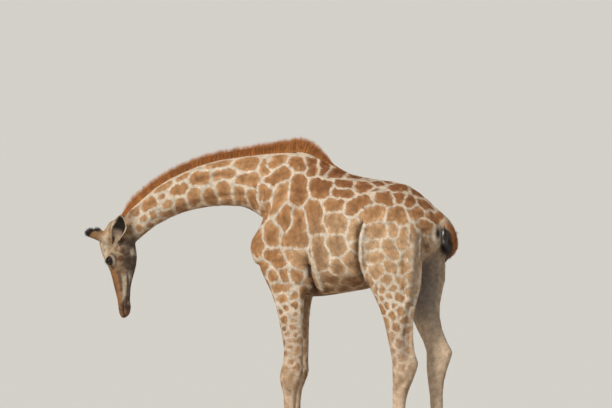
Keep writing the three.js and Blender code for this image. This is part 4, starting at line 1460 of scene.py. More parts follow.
# %% Colour of the coat
FRAY = 2.4  # mm
FRAY_WAVES = 110.0  # a hair's fraying shows as waves of 9 mm
GRAIN_WAVES = 230.0
MOTTLE_WAVES = 30.0
COLOURS = {"data_type": "RGBA"}
TIMES = {"operation": "MULTIPLY"}
PLUS = {"operation": "ADD"}
SCALED = {"operation": "SCALE"}
hair_colour = bpy.data.node_groups.new("coat_colour", "ShaderNodeTree")
hair_colour.interface.new_socket("Colour", in_out="OUTPUT", socket_type="NodeSocketColor")
hair_colour.interface.new_socket("Grain", in_out="OUTPUT", socket_type="NodeSocketFloat")
where = add(hair_colour, "ShaderNodeTexCoord").outputs["Object"]
fray = add(hair_colour, "ShaderNodeTexNoise", Vector=where, Scale=FRAY_WAVES, Detail=2.0)
grain = add(hair_colour, "ShaderNodeTexNoise", Vector=where, Scale=GRAIN_WAVES, Detail=1.0)
mottle = add(hair_colour, "ShaderNodeTexNoise", Vector=where, Scale=MOTTLE_WAVES, Detail=4.0)
depth = add(hair_colour, "ShaderNodeAttribute", {"attribute_name": "depth"}).outputs["Fac"]
ground = add(hair_colour, "ShaderNodeAttribute", {"attribute_name": "ground"})
patch = add(hair_colour, "ShaderNodeAttribute", {"attribute_name": "patch"})
off = add(hair_colour, "ShaderNodeMath", {"operation": "MULTIPLY_ADD"}, i0=fray, i1=4 * FRAY, i2=-2 * FRAY)
edge = add(hair_colour, "ShaderNodeMath", PLUS, i0=depth, i1=off)
soft = {"interpolation_type": "SMOOTHSTEP"}
mask = add(hair_colour, "ShaderNodeMapRange", soft, Value=edge, From_Min=-2.5, From_Max=2.5)
mixed = add(hair_colour, "ShaderNodeMix", COLOURS, Factor=mask, A=ground, B=patch)
middling = {"From_Min": 0.3, "From_Max": 0.7}
light = add(hair_colour, "ShaderNodeMapRange", Value=grain, To_Min=0.8, To_Max=1.17, **middling)
cloud = add(hair_colour, "ShaderNodeMapRange", Value=mottle, To_Min=0.76, To_Max=1.22, **middling)
both = add(hair_colour, "ShaderNodeMath", TIMES, i0=light, i1=cloud)
shaded = add(hair_colour, "ShaderNodeVectorMath", SCALED, i0=mixed, Scale=both)
add(hair_colour, "NodeGroupOutput", i0=shaded, i1=grain)
print("coat colour", len(hair_colour.nodes), "nodes")

# %% [markdown]
# The skin wears that colour with a dull finish, because a short coat scatters light. Here the skin
# becomes a piece: it stands for the flesh and rides on the animal's one body.


# %% The skin as a piece
def material(name, roughness=0.6):
    made = bpy.data.materials.new(name)
    made.use_nodes = True
    finish = made.node_tree.nodes["Principled BSDF"]
    finish.inputs["Roughness"].default_value = roughness
    return made, made.node_tree, finish


def piece(name, mesh, finish, slot, *replaced):
    """A mesh as a piece that rides on the animal, in one finish, and stands for the solids named."""
    made = new_object(name, mesh)
    mesh.materials.clear()
    mesh.materials.append(finish)
    if replaced:
        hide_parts(*replaced)
    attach(made, "root")
    return made


short_coat, tree, finish = material("short_coat_on_skin", 0.82)  # hair too short to stand off the skin
group = add(tree, "ShaderNodeGroup", {"node_tree": hair_colour})
tree.links.new(group.outputs["Colour"], finish.inputs["Base Color"])
bump = add(tree, "ShaderNodeBump", Strength=0.35, Distance=0.002, Height=group.outputs["Grain"])
tree.links.new(bump.outputs[0], finish.inputs["Normal"])
finish.inputs["Specular IOR Level"].default_value = 0.2

flesh = ["head", "neck", "trunk", "tail"]
flesh += [n for n in nodes if n.startswith(("foreleg", "hindleg", "ear_"))]
for face in skin.polygons:
    face.use_smooth = True
piece("skin", skin, short_coat, "coat", *flesh)
print("the skin stands for", ", ".join(flesh))

# %% [markdown]
# ## Ossicones
# The ossicones are knobs of bone under skin, 14 cm long. Each is turned on its own axis from the
# profile of its solid, a little thicker for its coat, and carries a brush of black hair.

# %% Ossicones
HORN_PROFILE = [  # radius and height in mm
    (34, -30), (35, -5), (33, 16), (30.5, 36), (28, 60), (27, 80), (27, 94), (24.5, 108),
    (18, 117), (8, 121), (0.4, 122),
]
HORN_ROWS, HORN_COLUMNS = 44, 36
shaft, root, black = (np.array(linear(code)[:3]) for code in ("#8c6a48", "#a18a70", "#231b17"))
horn_meshes = {}
for side_name, sign in SIDES.items():
    base, way = horn_axis(sign)
    places, share = turned(HORN_PROFILE, HORN_ROWS, HORN_COLUMNS, way, base, 0.03)
    mesh = mesh_of("ossicone_" + side_name, places, tube_faces(HORN_ROWS, HORN_COLUMNS))
    normals = read_normals(mesh)
    low = ramp(-share, -0.34, -0.16)[:, None]
    upper = share - 0.13 * (normals @ lengthwise)  # the brush reaches further down on the upper side
    top = ramp(upper + 0.03 * rng.normal(size=len(share)), 0.56, 0.68)[:, None]
    colour = shaft + (root - shaft) * low
    colour += (black - colour) * top
    lie = way - normals * (normals @ way)[:, None]
    lie += 0.05 * way
    put_coat(mesh, colour, colour, np.full(len(share), -30.0), lie / np.linalg.norm(lie, axis=1)[:, None])
    put(mesh, "hairy", ramp(share, 0.16, 0.24) * (1 - 0.9 * top[:, 0]))
    put(mesh, "brush", ramp(upper, 0.54, 0.68))
    horn_meshes[side_name] = mesh
    piece("ossicone_" + side_name, mesh, short_coat, "coat", "ossicone_" + side_name)
    print("ossicone", side_name, "from", base.round(3))

# %% [markdown]
# ## Eyes
# An eyeball is a wet, dark brown ball with a pupil that lies level, long from front to back. The
# pupil and the iris are drawn by two numbers that each point of the ball carries: how far it is from
# the line of sight along the eye's long and short axes.

# %% Wet eye
eye_finish, tree, finish = material("wet_dark_brown_eye", 0.07)  # a film of tears over a dark iris
finish.inputs["Coat Weight"].default_value = 0.15
finish.inputs["Coat Roughness"].default_value = 0.03
finish.inputs["Specular IOR Level"].default_value = 0.2
long_share = add(tree, "ShaderNodeAttribute", {"attribute_name": "eye_long"}).outputs["Fac"]
high_share = add(tree, "ShaderNodeAttribute", {"attribute_name": "eye_high"}).outputs["Fac"]
away = add(tree, "ShaderNodeCombineXYZ", X=long_share, Y=high_share)
ring = add(tree, "ShaderNodeVectorMath", {"operation": "LENGTH"}, i0=away)
spokes = add(tree, "ShaderNodeTexNoise", Vector=away, Scale=9.0, Detail=3.0)
iris = add(tree, "ShaderNodeValToRGB", Fac=ring)
iris.color_ramp.elements.new(0.93)
stops = [(0.5, "#1c110b"), (0.72, "#0d0806"), (0.93, "#4a3a30")]
for stop, (place, code) in zip(iris.color_ramp.elements, stops):
    stop.position = place
    stop.color = linear(code)
squeezed = add(tree, "ShaderNodeVectorMath", TIMES, i0=away, i1=(1.0, 1.9, 1.0))
oval = add(tree, "ShaderNodeVectorMath", {"operation": "LENGTH"}, i0=squeezed)
pupil = add(tree, "ShaderNodeMapRange", Value=oval, From_Min=0.42, From_Max=0.5)
streaked = add(tree, "ShaderNodeMix", COLOURS | {"blend_type": "MULTIPLY"}, Factor=0.5, A=iris, B=spokes)
seen = add(tree, "ShaderNodeMix", COLOURS, Factor=pupil, A=linear("#040303"), B=streaked)
tree.links.new(seen.outputs["Result"], finish.inputs["Base Color"])
print("eye", len(tree.nodes), "nodes")

# %% [markdown]
# The ball is laid out in rings round its line of sight, and its clear front bulges a little more than
# a ball's would. Points on its back keep the number of the rim, so that the white runs on behind.

# %% Eyeballs
BALL_ROWS, BALL_COLUMNS = 30, 48
CLEAR_BULGE = 0.045
for side_name, sign in SIDES.items():
    centre, sight, long, high = eye_axes(sign)
    polar = np.linspace(0.01, np.pi - 0.01, BALL_ROWS)[:, None]
    turn = np.linspace(0, 2 * np.pi, BALL_COLUMNS, endpoint=False)[None, :]
    ahead = np.cos(polar) + 0 * turn
    bulge = BALL_RADIUS * (1 + CLEAR_BULGE * ramp(ahead, 0.8, 1.0))
    unit_long = np.sin(polar) * np.cos(turn)
    unit_high = np.sin(polar) * np.sin(turn)
    ball = centre + (bulge * ahead)[..., None] * sight
    ball = ball + (bulge * unit_long)[..., None] * long + (bulge * unit_high)[..., None] * high
    mesh = mesh_of("eyeball", ball.reshape(-1, 3), tube_faces(BALL_ROWS, BALL_COLUMNS))
    for name, unit in (("eye_long", unit_long), ("eye_high", unit_high)):
        put(mesh, name, np.where(ahead > 0, unit, np.sign(unit)).ravel())
    piece("eyeball_" + side_name, mesh, eye_finish, "eye", "eye_" + side_name)
    print("eyeball", side_name, "at", centre.round(3))

# %% [markdown]
# The lashes stand along the upper lid, which is the one nearer the forehead. Each is a thin spike
# of three sides that bends down and out.


# %% Spikes, and black hair
def spikes(paths, widths):
    """Closed three-sided spikes: paths is (many, segments, 3) and widths is (many, segments)."""
    many, segments, _ = paths.shape
    run = np.gradient(paths, axis=1)
    run /= np.maximum(np.linalg.norm(run, axis=2, keepdims=True), 1e-9)
    side = np.cross(run, [0.13, 0.21, 0.97])
    side /= np.maximum(np.linalg.norm(side, axis=2, keepdims=True), 1e-9)
    other = np.cross(run, side)
    corners = []
    for k in range(3):
        angle = 2 * np.pi * k / 3
        corners.append(paths + widths[..., None] * (side * math.cos(angle) + other * math.sin(angle)))
    places = np.stack(corners, 2).reshape(-1, 3)
    one = np.array(tube_faces(segments, 3)[:-2])
    ends = np.array([[2, 1, 0], [segments * 3 - 3, segments * 3 - 2, segments * 3 - 1]])
    shift = (np.arange(many) * segments * 3)[:, None, None]
    faces = (one[None] + shift).reshape(-1, 4).tolist() + (ends[None] + shift).reshape(-1, 3).tolist()
    mesh = bpy.data.meshes.new("spikes")
    mesh.from_pydata(places.tolist(), [], faces)
    mesh.update()
    return mesh


black_hair, tree, finish = material("coarse_black_hair", 0.55)  # coarse, so it shines a little
where = add(tree, "ShaderNodeTexCoord").outputs["Object"]
grain = add(tree, "ShaderNodeTexNoise", Vector=where, Scale=70.0, Detail=1.0)
strand_tone = add(tree, "ShaderNodeValToRGB", Fac=grain)
for stop, (place, code) in zip(strand_tone.color_ramp.elements, [(0.35, "#15100d"), (0.7, "#3a2a20")]):
    stop.position = place
    stop.color = linear(code)
tree.links.new(strand_tone.outputs[0], finish.inputs["Base Color"])

# %% [markdown]
# Roots stand along the almond of the lids, a little outside the ball. Each lash leaves in its own
# way, up and out, and bows down the face.

# %% Lashes
LASHES = 46
LASH_SEGMENTS = 4
LASH_FAN = 1.2  # half the angle that the lashes fan out through, in radians
for side_name, sign in SIDES.items():
    centre, sight, long, high = eye_axes(sign)
    upper = high if high @ forehead > 0 else -high
    angle = np.linspace(-LASH_FAN, LASH_FAN, LASHES)
    root_long = np.sin(angle) / math.sin(LASH_FAN) * LID_LONG * 0.9
    root_high = LID_HIGH * (1 - (np.abs(root_long) / LID_LONG) ** 2) ** 0.6
    root = long * np.tan(root_long)[:, None] * 0.8 + upper * np.tan(root_high)[:, None] + sight
    root /= np.linalg.norm(root, axis=1)[:, None]
    reach = rng.uniform(0.012, 0.019, LASHES)[:, None]
    way = root * 0.6 + upper * 0.5 + sight * 0.5 + long * (0.5 * np.sin(angle) + 0.25)[:, None]
    way += rng.normal(0, 0.08, way.shape)
    way /= np.linalg.norm(way, axis=1)[:, None]
    t = np.linspace(0, 1, LASH_SEGMENTS)[None, :, None]
    paths = centre + (root * (BALL_RADIUS + 0.002))[:, None] + (way * reach)[:, None] * t
    paths = paths + (lengthwise - 0.4 * upper) * (0.35 * reach)[:, None] * t**2
    widths = np.linspace(0.0007, 0.00012, LASH_SEGMENTS)[None, :] * np.ones((LASHES, 1))
    piece("lashes_" + side_name, spikes(paths, widths), black_hair, "black_hair")
print(LASHES, "lashes on each lid")

# %% [markdown]
# ## Hooves
# A hoof is two claws of dull horn. Their solids are right in shape but faceted, so copies of them are
# rounded by fine voxels and given flat soles again. The bands are growth rings.

# %% Hooves
horn_finish, tree, finish = material("dull_hoof_horn", 0.5)  # worn horn, between matt and shiny
where = add(tree, "ShaderNodeTexCoord").outputs["Object"]
RING_WAVES = 38.0  # growth rings 8 mm apart, coarser than real ones so that they show
along_z = {"bands_direction": "Z", "wave_profile": "SIN"}
rings = add(tree, "ShaderNodeTexWave", along_z, Vector=where, Scale=RING_WAVES, Distortion=4.0, Detail=2.0)
shade = add(tree, "ShaderNodeValToRGB", Fac=rings.outputs[0])
for stop, code in zip(shade.color_ramp.elements, ("#463a32", "#584a40")):
    stop.color = linear(code)
tree.links.new(shade.outputs[0], finish.inputs["Base Color"])
bump = add(tree, "ShaderNodeBump", Strength=0.08, Distance=0.001, Height=rings.outputs["Fac"])
tree.links.new(bump.outputs[0], finish.inputs["Normal"])
HOOF_VOXEL = 0.0032
for end in ("fore", "hind"):
    for side_name in SIDES:
        claws = [f"hoof_{end}_{side_name}_{place}" for place in ("inner", "outer")]
        meshes = [voxels(welded([claw], 0.0012), HOOF_VOXEL) for claw in claws]
        for mesh in meshes:
            net = Net(mesh)
            places = net.smoothed(net.smoothed(read_points(mesh), 16), 9, 0.5, 0.0)
            sole = ramp(-places[:, 2], -0.012, -0.002)
            places[:, 2] = np.maximum(places[:, 2] * (1 - sole), 0)
            write_points(mesh, places)
        hooves = joined(meshes)
        piece(f"hooves_{end}_{side_name}", hooves, horn_finish, "horn", *claws)
        print("hooves", end, side_name, len(hooves.polygons), "faces")

# %% [markdown]
# ## Hair that stands off the skin
# One tree of nodes grows every kind of tuft. It scatters roots over a host mesh, as thickly as a named
# number on the host says, and stands a thin three-sided spike on each, turned along the hair's lie
# and lifted off the skin. Each tuft keeps its root's colours and a small patch of the host's own unwrap.

# %% The tuft tree
UV_PATCH = 0.003
ROOT_DEPTH = 0.0008  # how far a tuft's root is sunk into the skin
MATHS = "ShaderNodeMath"
VECTORS = "ShaderNodeVectorMath"
NAMED = "GeometryNodeInputNamedAttribute"
STORE = "GeometryNodeStoreNamedAttribute"
CHANCE = "FunctionNodeRandomValue"
A_NUMBER = {"data_type": "FLOAT"}
A_VECTOR = {"data_type": "FLOAT_VECTOR"}
TUFT_INPUTS = {
    "Thickly": "NodeSocketFloat",
    "Length": "NodeSocketFloat",
    "Width": "NodeSocketFloat",
    "Lift": "NodeSocketFloat",
    "Stray": "NodeSocketFloat",
    "Where": "NodeSocketString",
    "Seed": "NodeSocketInt",
}


def tuft_tree(finish, segments, bend, shortest=0.65, longest=1.2):
    """Grows spikes; finish is the material, segments the rings of a spike and bend its bow."""
    tree = bpy.data.node_groups.new("tufts", "GeometryNodeTree")
    tree.interface.new_socket("Geometry", in_out="INPUT", socket_type="NodeSocketGeometry")
    for name, kind in TUFT_INPUTS.items():
        tree.interface.new_socket(name, in_out="INPUT", socket_type=kind)
    tree.interface.new_socket("Geometry", in_out="OUTPUT", socket_type="NodeSocketGeometry")
    given = add(tree, "NodeGroupInput").outputs
    # roots, each of which remembers its place, its chance number and its point of the unwrap
    hairy = add(tree, NAMED, A_NUMBER, Name=given["Where"])
    density = add(tree, MATHS, TIMES, i0=given["Thickly"], i1=hairy)
    scatter = "GeometryNodeDistributePointsOnFaces"
    roots = add(tree, scatter, Mesh=given["Geometry"], Density=density, Seed=given["Seed"])
    normal = roots.outputs["Normal"]
    unwrapped = add(tree, NAMED, A_VECTOR, Name="OFBake")
    points = add(tree, STORE, A_VECTOR, Geometry=roots, Name="root_uv", Value=unwrapped)
    tone = add(tree, CHANCE, A_NUMBER, Min=0.0, Max=1.0, Seed=5)
    points = add(tree, STORE, A_NUMBER, Geometry=points, Name="tuft", Value=tone)
    position = add(tree, "GeometryNodeInputPosition")
    points = add(tree, STORE, A_VECTOR, Geometry=points, Name="root", Value=position)
    # which way each tuft points: along the hair's lie, lifted off the skin, and a little astray
    lie = add(tree, NAMED, A_VECTOR, Name="lie")
    lifted = add(tree, VECTORS, SCALED, i0=normal, Scale=given["Lift"])
    anyhow = add(tree, CHANCE, A_VECTOR, Min=(-1.0, -1.0, -1.0), Max=(1.0, 1.0, 1.0), Seed=11)
    stray = add(tree, VECTORS, SCALED, i0=anyhow, Scale=given["Stray"])
    way = add(tree, VECTORS, PLUS, i0=add(tree, VECTORS, PLUS, i0=lie, i1=lifted), i1=stray)
    way = add(tree, VECTORS, {"operation": "NORMALIZE"}, i0=way)
    axes = {"primary_axis": "Z", "secondary_axis": "Y"}
    turn = add(tree, "FunctionNodeAxesToRotation", axes, Primary_Axis=way, Secondary_Axis=normal)
    down = add(tree, VECTORS, SCALED, i0=normal, Scale=-ROOT_DEPTH)
    sunk = add(tree, "GeometryNodeSetPosition", Geometry=points, Offset=down)
    # the spike itself: a cone of three sides, a metre tall, that bows as the square of its height
    cone = {"Vertices": 3, "Side_Segments": segments, "Radius_Top": 0.0, "Radius_Bottom": 1.0, "Depth": 1.0}
    spike = add(tree, "GeometryNodeMeshCone", **cone)
    height = add(tree, "ShaderNodeSeparateXYZ", Vector=position).outputs["Z"]
    squared = add(tree, MATHS, TIMES, i0=height, i1=height)
    bow = add(tree, "ShaderNodeCombineXYZ", Y=add(tree, MATHS, TIMES, i0=squared, i1=-bend))
    bowed = add(tree, "GeometryNodeSetPosition", Geometry=spike, Offset=bow)
    local = add(tree, STORE, A_VECTOR, Geometry=bowed, Name="local", Value=position)
    # its size, by chance and by what the host says
    length_chance = add(tree, CHANCE, A_NUMBER, Min=shortest, Max=longest, Seed=3)
    length = add(tree, MATHS, TIMES, i0=given["Length"], i1=length_chance)
    length = add(tree, MATHS, TIMES, i0=length, i1=add(tree, NAMED, A_NUMBER, Name="hair_length"))
    width_chance = add(tree, CHANCE, A_NUMBER, Min=0.7, Max=1.2, Seed=4)
    width = add(tree, MATHS, TIMES, i0=given["Width"], i1=width_chance)
    thick = add(tree, MATHS, TIMES, i0=width, i1=0.45)
    size = add(tree, "ShaderNodeCombineXYZ", X=width, Y=thick, Z=length)
    grown = add(tree, "GeometryNodeInstanceOnPoints", Points=sunk, Instance=local, Rotation=turn, Scale=size)
    real = add(tree, "GeometryNodeRealizeInstances", Geometry=grown)
    # each tuft takes a patch of the unwrap at its root
    own = add(tree, "ShaderNodeSeparateXYZ", Vector=add(tree, NAMED, A_VECTOR, Name="local")).outputs
    sideways = add(tree, MATHS, TIMES, i0=own["X"], i1=0.4)
    forwards = add(tree, MATHS, TIMES, i0=own["Y"], i1=0.3)
    flat = add(tree, "ShaderNodeCombineXYZ", X=add(tree, MATHS, PLUS, i0=sideways, i1=forwards), Y=own["Z"])
    small = add(tree, VECTORS, SCALED, i0=flat, Scale=UV_PATCH)
    uv = add(tree, VECTORS, PLUS, i0=add(tree, NAMED, A_VECTOR, Name="root_uv"), i1=small)
    on_corners = {"data_type": "FLOAT2", "domain": "CORNER"}
    mapped = add(tree, STORE, on_corners, Geometry=real, Name="OFBake", Value=uv)
    add(tree, "NodeGroupOutput", i0=add(tree, "GeometryNodeSetMaterial", Geometry=mapped, Material=finish))
    return tree


# %% [markdown]
# A host mesh is given the tree as a modifier, read as the modifier leaves it, and thrown away. What
# stays on the tufts is what their material and their unwrap need.

# %% Grow tufts on a host
SPARE = ("root_uv", "local", "lie", "hair_length")


def grow(name, host, tree, slot, where, thickly, length, width, lift, stray, seed):
    """Grows tufts on a host mesh, as thickly (tufts on a square metre) as the host's number says."""
    bed = new_object("bed", host)
    modifier = bed.modifiers.new("tufts", "NODES")
    modifier.node_group = tree
    settings = dict(zip(TUFT_INPUTS, (float(thickly), length, width, lift, stray, where, seed)))
    for item in tree.interface.items_tree:
        if item.in_out == "INPUT" and item.name in settings:
            modifier[item.identifier] = settings[item.name]
    tufts = bpy.data.meshes.new_from_object(bed.evaluated_get(bpy.context.evaluated_depsgraph_get()))
    bpy.data.objects.remove(bed)
    finish = next(m for m in tufts.materials if m)
    piece(name, tufts, finish, slot)
    for unused in [a.name for a in tufts.attributes if a.name in SPARE or a.name.startswith("grow_")]:
        tufts.attributes.remove(tufts.attributes[unused])
    tufts.polygons.foreach_set("material_index", np.zeros(len(tufts.polygons), np.int32))
    print(name, sum(len(p.vertices) - 2 for p in tufts.polygons), "triangles of", finish.name)


# %% [markdown]
# The coat's hair is 1 to 2 cm long and lies flat, so the tufts lift by only a few degrees. They take
# their colour from the same group of nodes as the skin, and each is a little lighter or darker.

# %% The tufts' finish
tuft_coat, tree, finish = material("coat_hair_tufts", 0.75)  # short hair in tufts, dull like the skin
group = add(tree, "ShaderNodeGroup", {"node_tree": hair_colour})
own_tone = add(tree, "ShaderNodeAttribute", {"attribute_name": "tuft"}).outputs["Fac"]
lighter = add(tree, "ShaderNodeMapRange", Value=own_tone, To_Min=0.8, To_Max=1.24)
toned = add(tree, "ShaderNodeVectorMath", SCALED, i0=group.outputs["Colour"], Scale=lighter)
tree.links.new(toned.outputs[0], finish.inputs["Base Color"])
finish.inputs["Specular IOR Level"].default_value = 0.25
coat = tuft_tree(tuft_coat, 1, 0.0)
print("tufts", len(coat.nodes), "nodes")

# %% [markdown]
# The skin needs an unwrap, so that each tuft can find its own spot in the baked colours.


# %% Unwrap
def unwrap(mesh):
    """An unwrap of the mesh's own shape, named for the baked colours."""
    holder = new_object("unwrap", mesh)
    bpy.context.view_layer.objects.active = holder
    holder.select_set(True)
    mesh.uv_layers.new(name="OFBake")
    bpy.ops.object.mode_set(mode="EDIT")
    bpy.ops.mesh.select_all(action="SELECT")
    bpy.ops.uv.smart_project(angle_limit=math.radians(66), island_margin=0.0)
    bpy.ops.object.mode_set(mode="OBJECT")
    bpy.data.objects.remove(holder)


unwrap(skin)
print("the skin is unwrapped")

# %% [markdown]
# The coat grows in eight pieces. Each takes a part of the skin, as a number from 0 to 1 at each point.
# The eyes' openings, the nostrils and the line of the lips stay bare, and so do the hooves.

# %% Where the coat grows
places = read_points(skin)
square = level(places)
normals = read_normals(skin)
x, y, z = square.T
half = on_half_head(places)
bare = 1 - ramp(off_path(half, in_metres(NOSTRIL)), 0.008, 0.014)
bare = np.maximum(bare, 1 - ramp(off_path(half, in_metres(MOUTH)), 0.004, 0.009))
for sign in SIDES.values():
    away, ahead, almond = round_the_eye(places, sign)
    near = (ahead > 0) * (np.linalg.norm(away, axis=1) < 0.05)
    bare = np.maximum(bare, near * (1 - ramp(almond, 1.15, 1.35)))
on_head = ramp(-x, 1.62, 1.7) * (z < 2.2)
on_ears = np.zeros(len(x))
for sign in SIDES.values():
    on_ears = np.maximum(on_ears, on_ear_leaf(places, normals, sign)[1])
on_neck = ramp(-x, 0.6, 0.66) * (1 - on_head) * (z > 1.7)
low = ramp(-z, -1.56, -1.46)
on_fore = low * (x > -0.8) * (x < -0.05)
on_hind = low * (x >= -0.05)
near_tail = 1 - ramp(off_path(square, TAIL_RUN), 0.055, 0.065)
on_tail = near_tail * ramp(x + y, 0.7, 0.74) * (z < 2.03)
# The tail's inner side, turned to the rump, where black hair stands for painted shade.
inside = ramp(-normals[:, 0], 0.0, 0.5) * ramp(z, 1.75, 1.8) * ramp(-z, -2.01, -1.98)
on_trunk = np.clip(1 - on_head - on_neck - low - on_tail, 0, 1) * (x > -0.75)
length = 1.0 - 0.45 * on_head - 0.3 * low + 0.5 * on_tail + 0.15 * on_trunk + 0.9 * ramp(-z, -0.15, -0.08)
put(skin, "hair_length", length)
GROWTH = {
    "trunk_left": on_trunk * (y < 0),
    "trunk_right": on_trunk * (y >= 0),
    "neck": on_neck,
    "head": on_head * (1 - on_ears) * (1 - bare),
    "ears": on_ears,
    "forelegs": on_fore * (z > 0.06),
    "hindlegs": on_hind * (1 - on_tail) * (z > 0.06),
    "tail": on_tail,
    "tail_inner": on_tail * inside,
}
for part, share in GROWTH.items():
    put(skin, "grow_" + part, share)
    print(part, "covers", round(100 * float(np.mean(share))), "% of the skin's points")

# %% [markdown]
# Hair is longest on the tail and shortest on the face. On the legs it lies flattest.

# %% Grow the coat
# Each row is a part of the skin, tufts on a square metre, length and width in metres, lift and stray.
COAT = [
    ("trunk_left", 31000, 0.017, 0.0017, 0.14, 0.1),
    ("trunk_right", 31000, 0.017, 0.0017, 0.14, 0.1),
    ("neck", 40000, 0.017, 0.0016, 0.16, 0.1),
    ("head", 120000, 0.013, 0.001, 0.13, 0.1),
    ("ears", 60000, 0.015, 0.0012, 0.25, 0.2),
    ("forelegs", 38000, 0.016, 0.0014, 0.1, 0.07),
    ("hindlegs", 36000, 0.016, 0.0014, 0.1, 0.07),
    ("tail", 38000, 0.024, 0.0018, 0.3, 0.18),
]
for seed, (part, *look) in enumerate(COAT, 1):
    grow("coat_" + part, skin, coat, "coat", "grow_" + part, *look, seed)
for side_name, mesh in horn_meshes.items():
    unwrap(mesh)
    put(mesh, "hair_length", np.ones(len(mesh.vertices)))
    grow("coat_ossicone_" + side_name, mesh, coat, "coat", "hairy", 110000, 0.012, 0.0012, 0.25, 0.15, 9)

# %% [markdown]
# Black hair grows on the tail's inner side, as painted shade between the tail and the rump, and in a brush on
# each ossicone.

# %% Grow the black hair
brush_tree = tuft_tree(black_hair, 2, 0.1)
on_skin = (skin, brush_tree, "black_hair", "grow_tail_inner")
# Black hair on the tail's inner side stands for the shade between the tail and the rump.
grow("tail_inner_shade_hair", *on_skin, 150000, 0.05, 0.0018, 1.4, 0.2, 13)
for side_name, mesh in horn_meshes.items():
    grow("brush_" + side_name, mesh, brush_tree, "black_hair", "brush", 150000, 0.033, 0.0011, 0.7, 0.3, 10)

# %% [markdown]
# ## Mane
# The mane is stiff hair, 9 cm tall, that stands on the crest from between the ears to behind the
# withers. A low blade of hair fills its middle, made dark as painted shade between the strands, and
# thousands of spikes stand round it.

# %% The crest's line
MANE_HEIGHT = 0.09
MANE_FROM, MANE_TO = -1.8, -0.03
MANE_RINGS = 150
MANE_STEPS = [-1.8, -1.74, -1.68, -0.95, -0.63, -0.47, -0.38, -0.3, -0.26, -0.19, -0.13, -0.05]
MANE_SHARES = [0.15, 0.6, 1.0, 1.02, 1.15, 1.33, 1.3, 1.1, 0.88, 0.5, 0.14, 0.04]
skin_tree = BVHTree.FromPolygons(read_points(skin).tolist(), [p.vertices[:] for p in skin.polygons])
crest = []
for x in np.linspace(MANE_FROM, MANE_TO, MANE_RINGS):
    hit, _, _, _ = skin_tree.ray_cast(Vector(on_body(x, 0, 3.0)), Vector((0, 0, -1)), 2.0)
    crest.append(hit)
crest = np.array(crest)
for _ in range(12):
    crest[1:-1] = (crest[:-2] + crest[2:]) / 2
run = np.gradient(crest, axis=0)
run /= np.linalg.norm(run, axis=1)[:, None]
rise = np.stack([-run[:, 2], 0 * run[:, 0], run[:, 0]], 1)
own_x = crest[:, 0] - ORIGIN[0]
# how tall the mane is along the crest, as a share of MANE_HEIGHT
tall = np.interp(own_x, MANE_STEPS, MANE_SHARES)
half_width = (0.014 + 0.009 * ramp(own_x, -0.6, -0.35)) * (1 - 0.75 * ramp(own_x, -0.22, -0.06))
print("crest", crest[0].round(3), "to", crest[-1].round(3))

# %% [markdown]
# Mane hair is rufous, lighter and darker in clumps 2 cm wide, and sandy near the skin.

# %% Mane hair's finish
mane_hair, tree, finish = material("mane_hair", 0.62)  # stiff hair, a little glossier than the coat
root_place = add(tree, "ShaderNodeAttribute", {"attribute_name": "root"}).outputs["Vector"]
clump = add(tree, "ShaderNodeTexNoise", Vector=root_place, Scale=52.0, Detail=2.0)
patchy = add(tree, "ShaderNodeTexNoise", Vector=root_place, Scale=14.0, Detail=1.0)
up_share = add(tree, "ShaderNodeAttribute", {"attribute_name": "up_share"}).outputs["Fac"]
own_tone = add(tree, "ShaderNodeAttribute", {"attribute_name": "tuft"}).outputs["Fac"]
body_colour = add(tree, "ShaderNodeValToRGB", Fac=clump)
for stop, (place, code) in zip(body_colour.color_ramp.elements, [(0.38, "#6b280a"), (0.62, "#cc6a22")]):
    stop.position = place
    stop.color = linear(code)
tip_share = add(tree, "ShaderNodeMapRange", Value=up_share, From_Min=0.55, From_Max=1.0, To_Max=0.62)
tipped = add(tree, "ShaderNodeMix", COLOURS, Factor=tip_share, A=body_colour, B=linear("#cb6a28"))
near_root = {"From_Min": 0.02, "From_Max": 0.3, "To_Min": 0.8, "To_Max": 0.0}
low_share = add(tree, "ShaderNodeMapRange", Value=up_share, **near_root)
rooted = add(tree, "ShaderNodeMix", COLOURS, Factor=low_share, A=tipped, B=linear("#c78a4c"))
tone = add(tree, "ShaderNodeMapRange", Value=own_tone, To_Min=0.5, To_Max=1.45)
wide_tone = add(tree, "ShaderNodeMapRange", Value=patchy, To_Min=0.85, To_Max=1.12, **middling)
product = add(tree, "ShaderNodeMath", TIMES, i0=tone, i1=wide_tone)
final = add(tree, "ShaderNodeVectorMath", SCALED, i0=rooted, Scale=product)
tree.links.new(final.outputs[0], finish.inputs["Base Color"])
print("mane hair", len(tree.nodes), "nodes")

# %% [markdown]
# The blade in the mane's middle is one tube along the crest, half as tall as the hair, with its foot
# in the skin.


# %% Mane core
def along_crest(offsets, drop):
    """A sheet over the crest: offsets across it in half widths, and how deep each runs below it."""
    rows = []
    for offset, down in zip(offsets, drop):
        rows.append(crest + np.array([0, 1, 0]) * (half_width * offset)[:, None] - rise * down)
    return np.stack(rows, 1)


CORE_FOOT = 0.04  # metres below the crest for a whole share
CORE_SHAPE = [  # across in half widths, and up as a share of the hair
    (-1.0, -0.02), (-0.8, 0.16), (-0.45, 0.4), (0.0, 0.52), (0.45, 0.4), (0.8, 0.16), (1.0, -0.02),
    (0.5, -0.25), (-0.5, -0.25),
]
sunk = (0.012 * (1 - ramp(tall, 0.1, 0.5)))[:, None]
drop = [(-h * (MANE_HEIGHT * tall)[:, None] if h > 0 else -h * CORE_FOOT) + sunk for _, h in CORE_SHAPE]
sheet = along_crest([offset for offset, _ in CORE_SHAPE], drop)
rows, columns = sheet.shape[:2]
core = mesh_of("mane_core", sheet.reshape(-1, 3), tube_faces(rows, columns))
put(core, "root", sheet.reshape(-1, 3), "FLOAT_VECTOR")
put(core, "up_share", np.tile([max(h, 0) * 0.8 for _, h in CORE_SHAPE], rows))
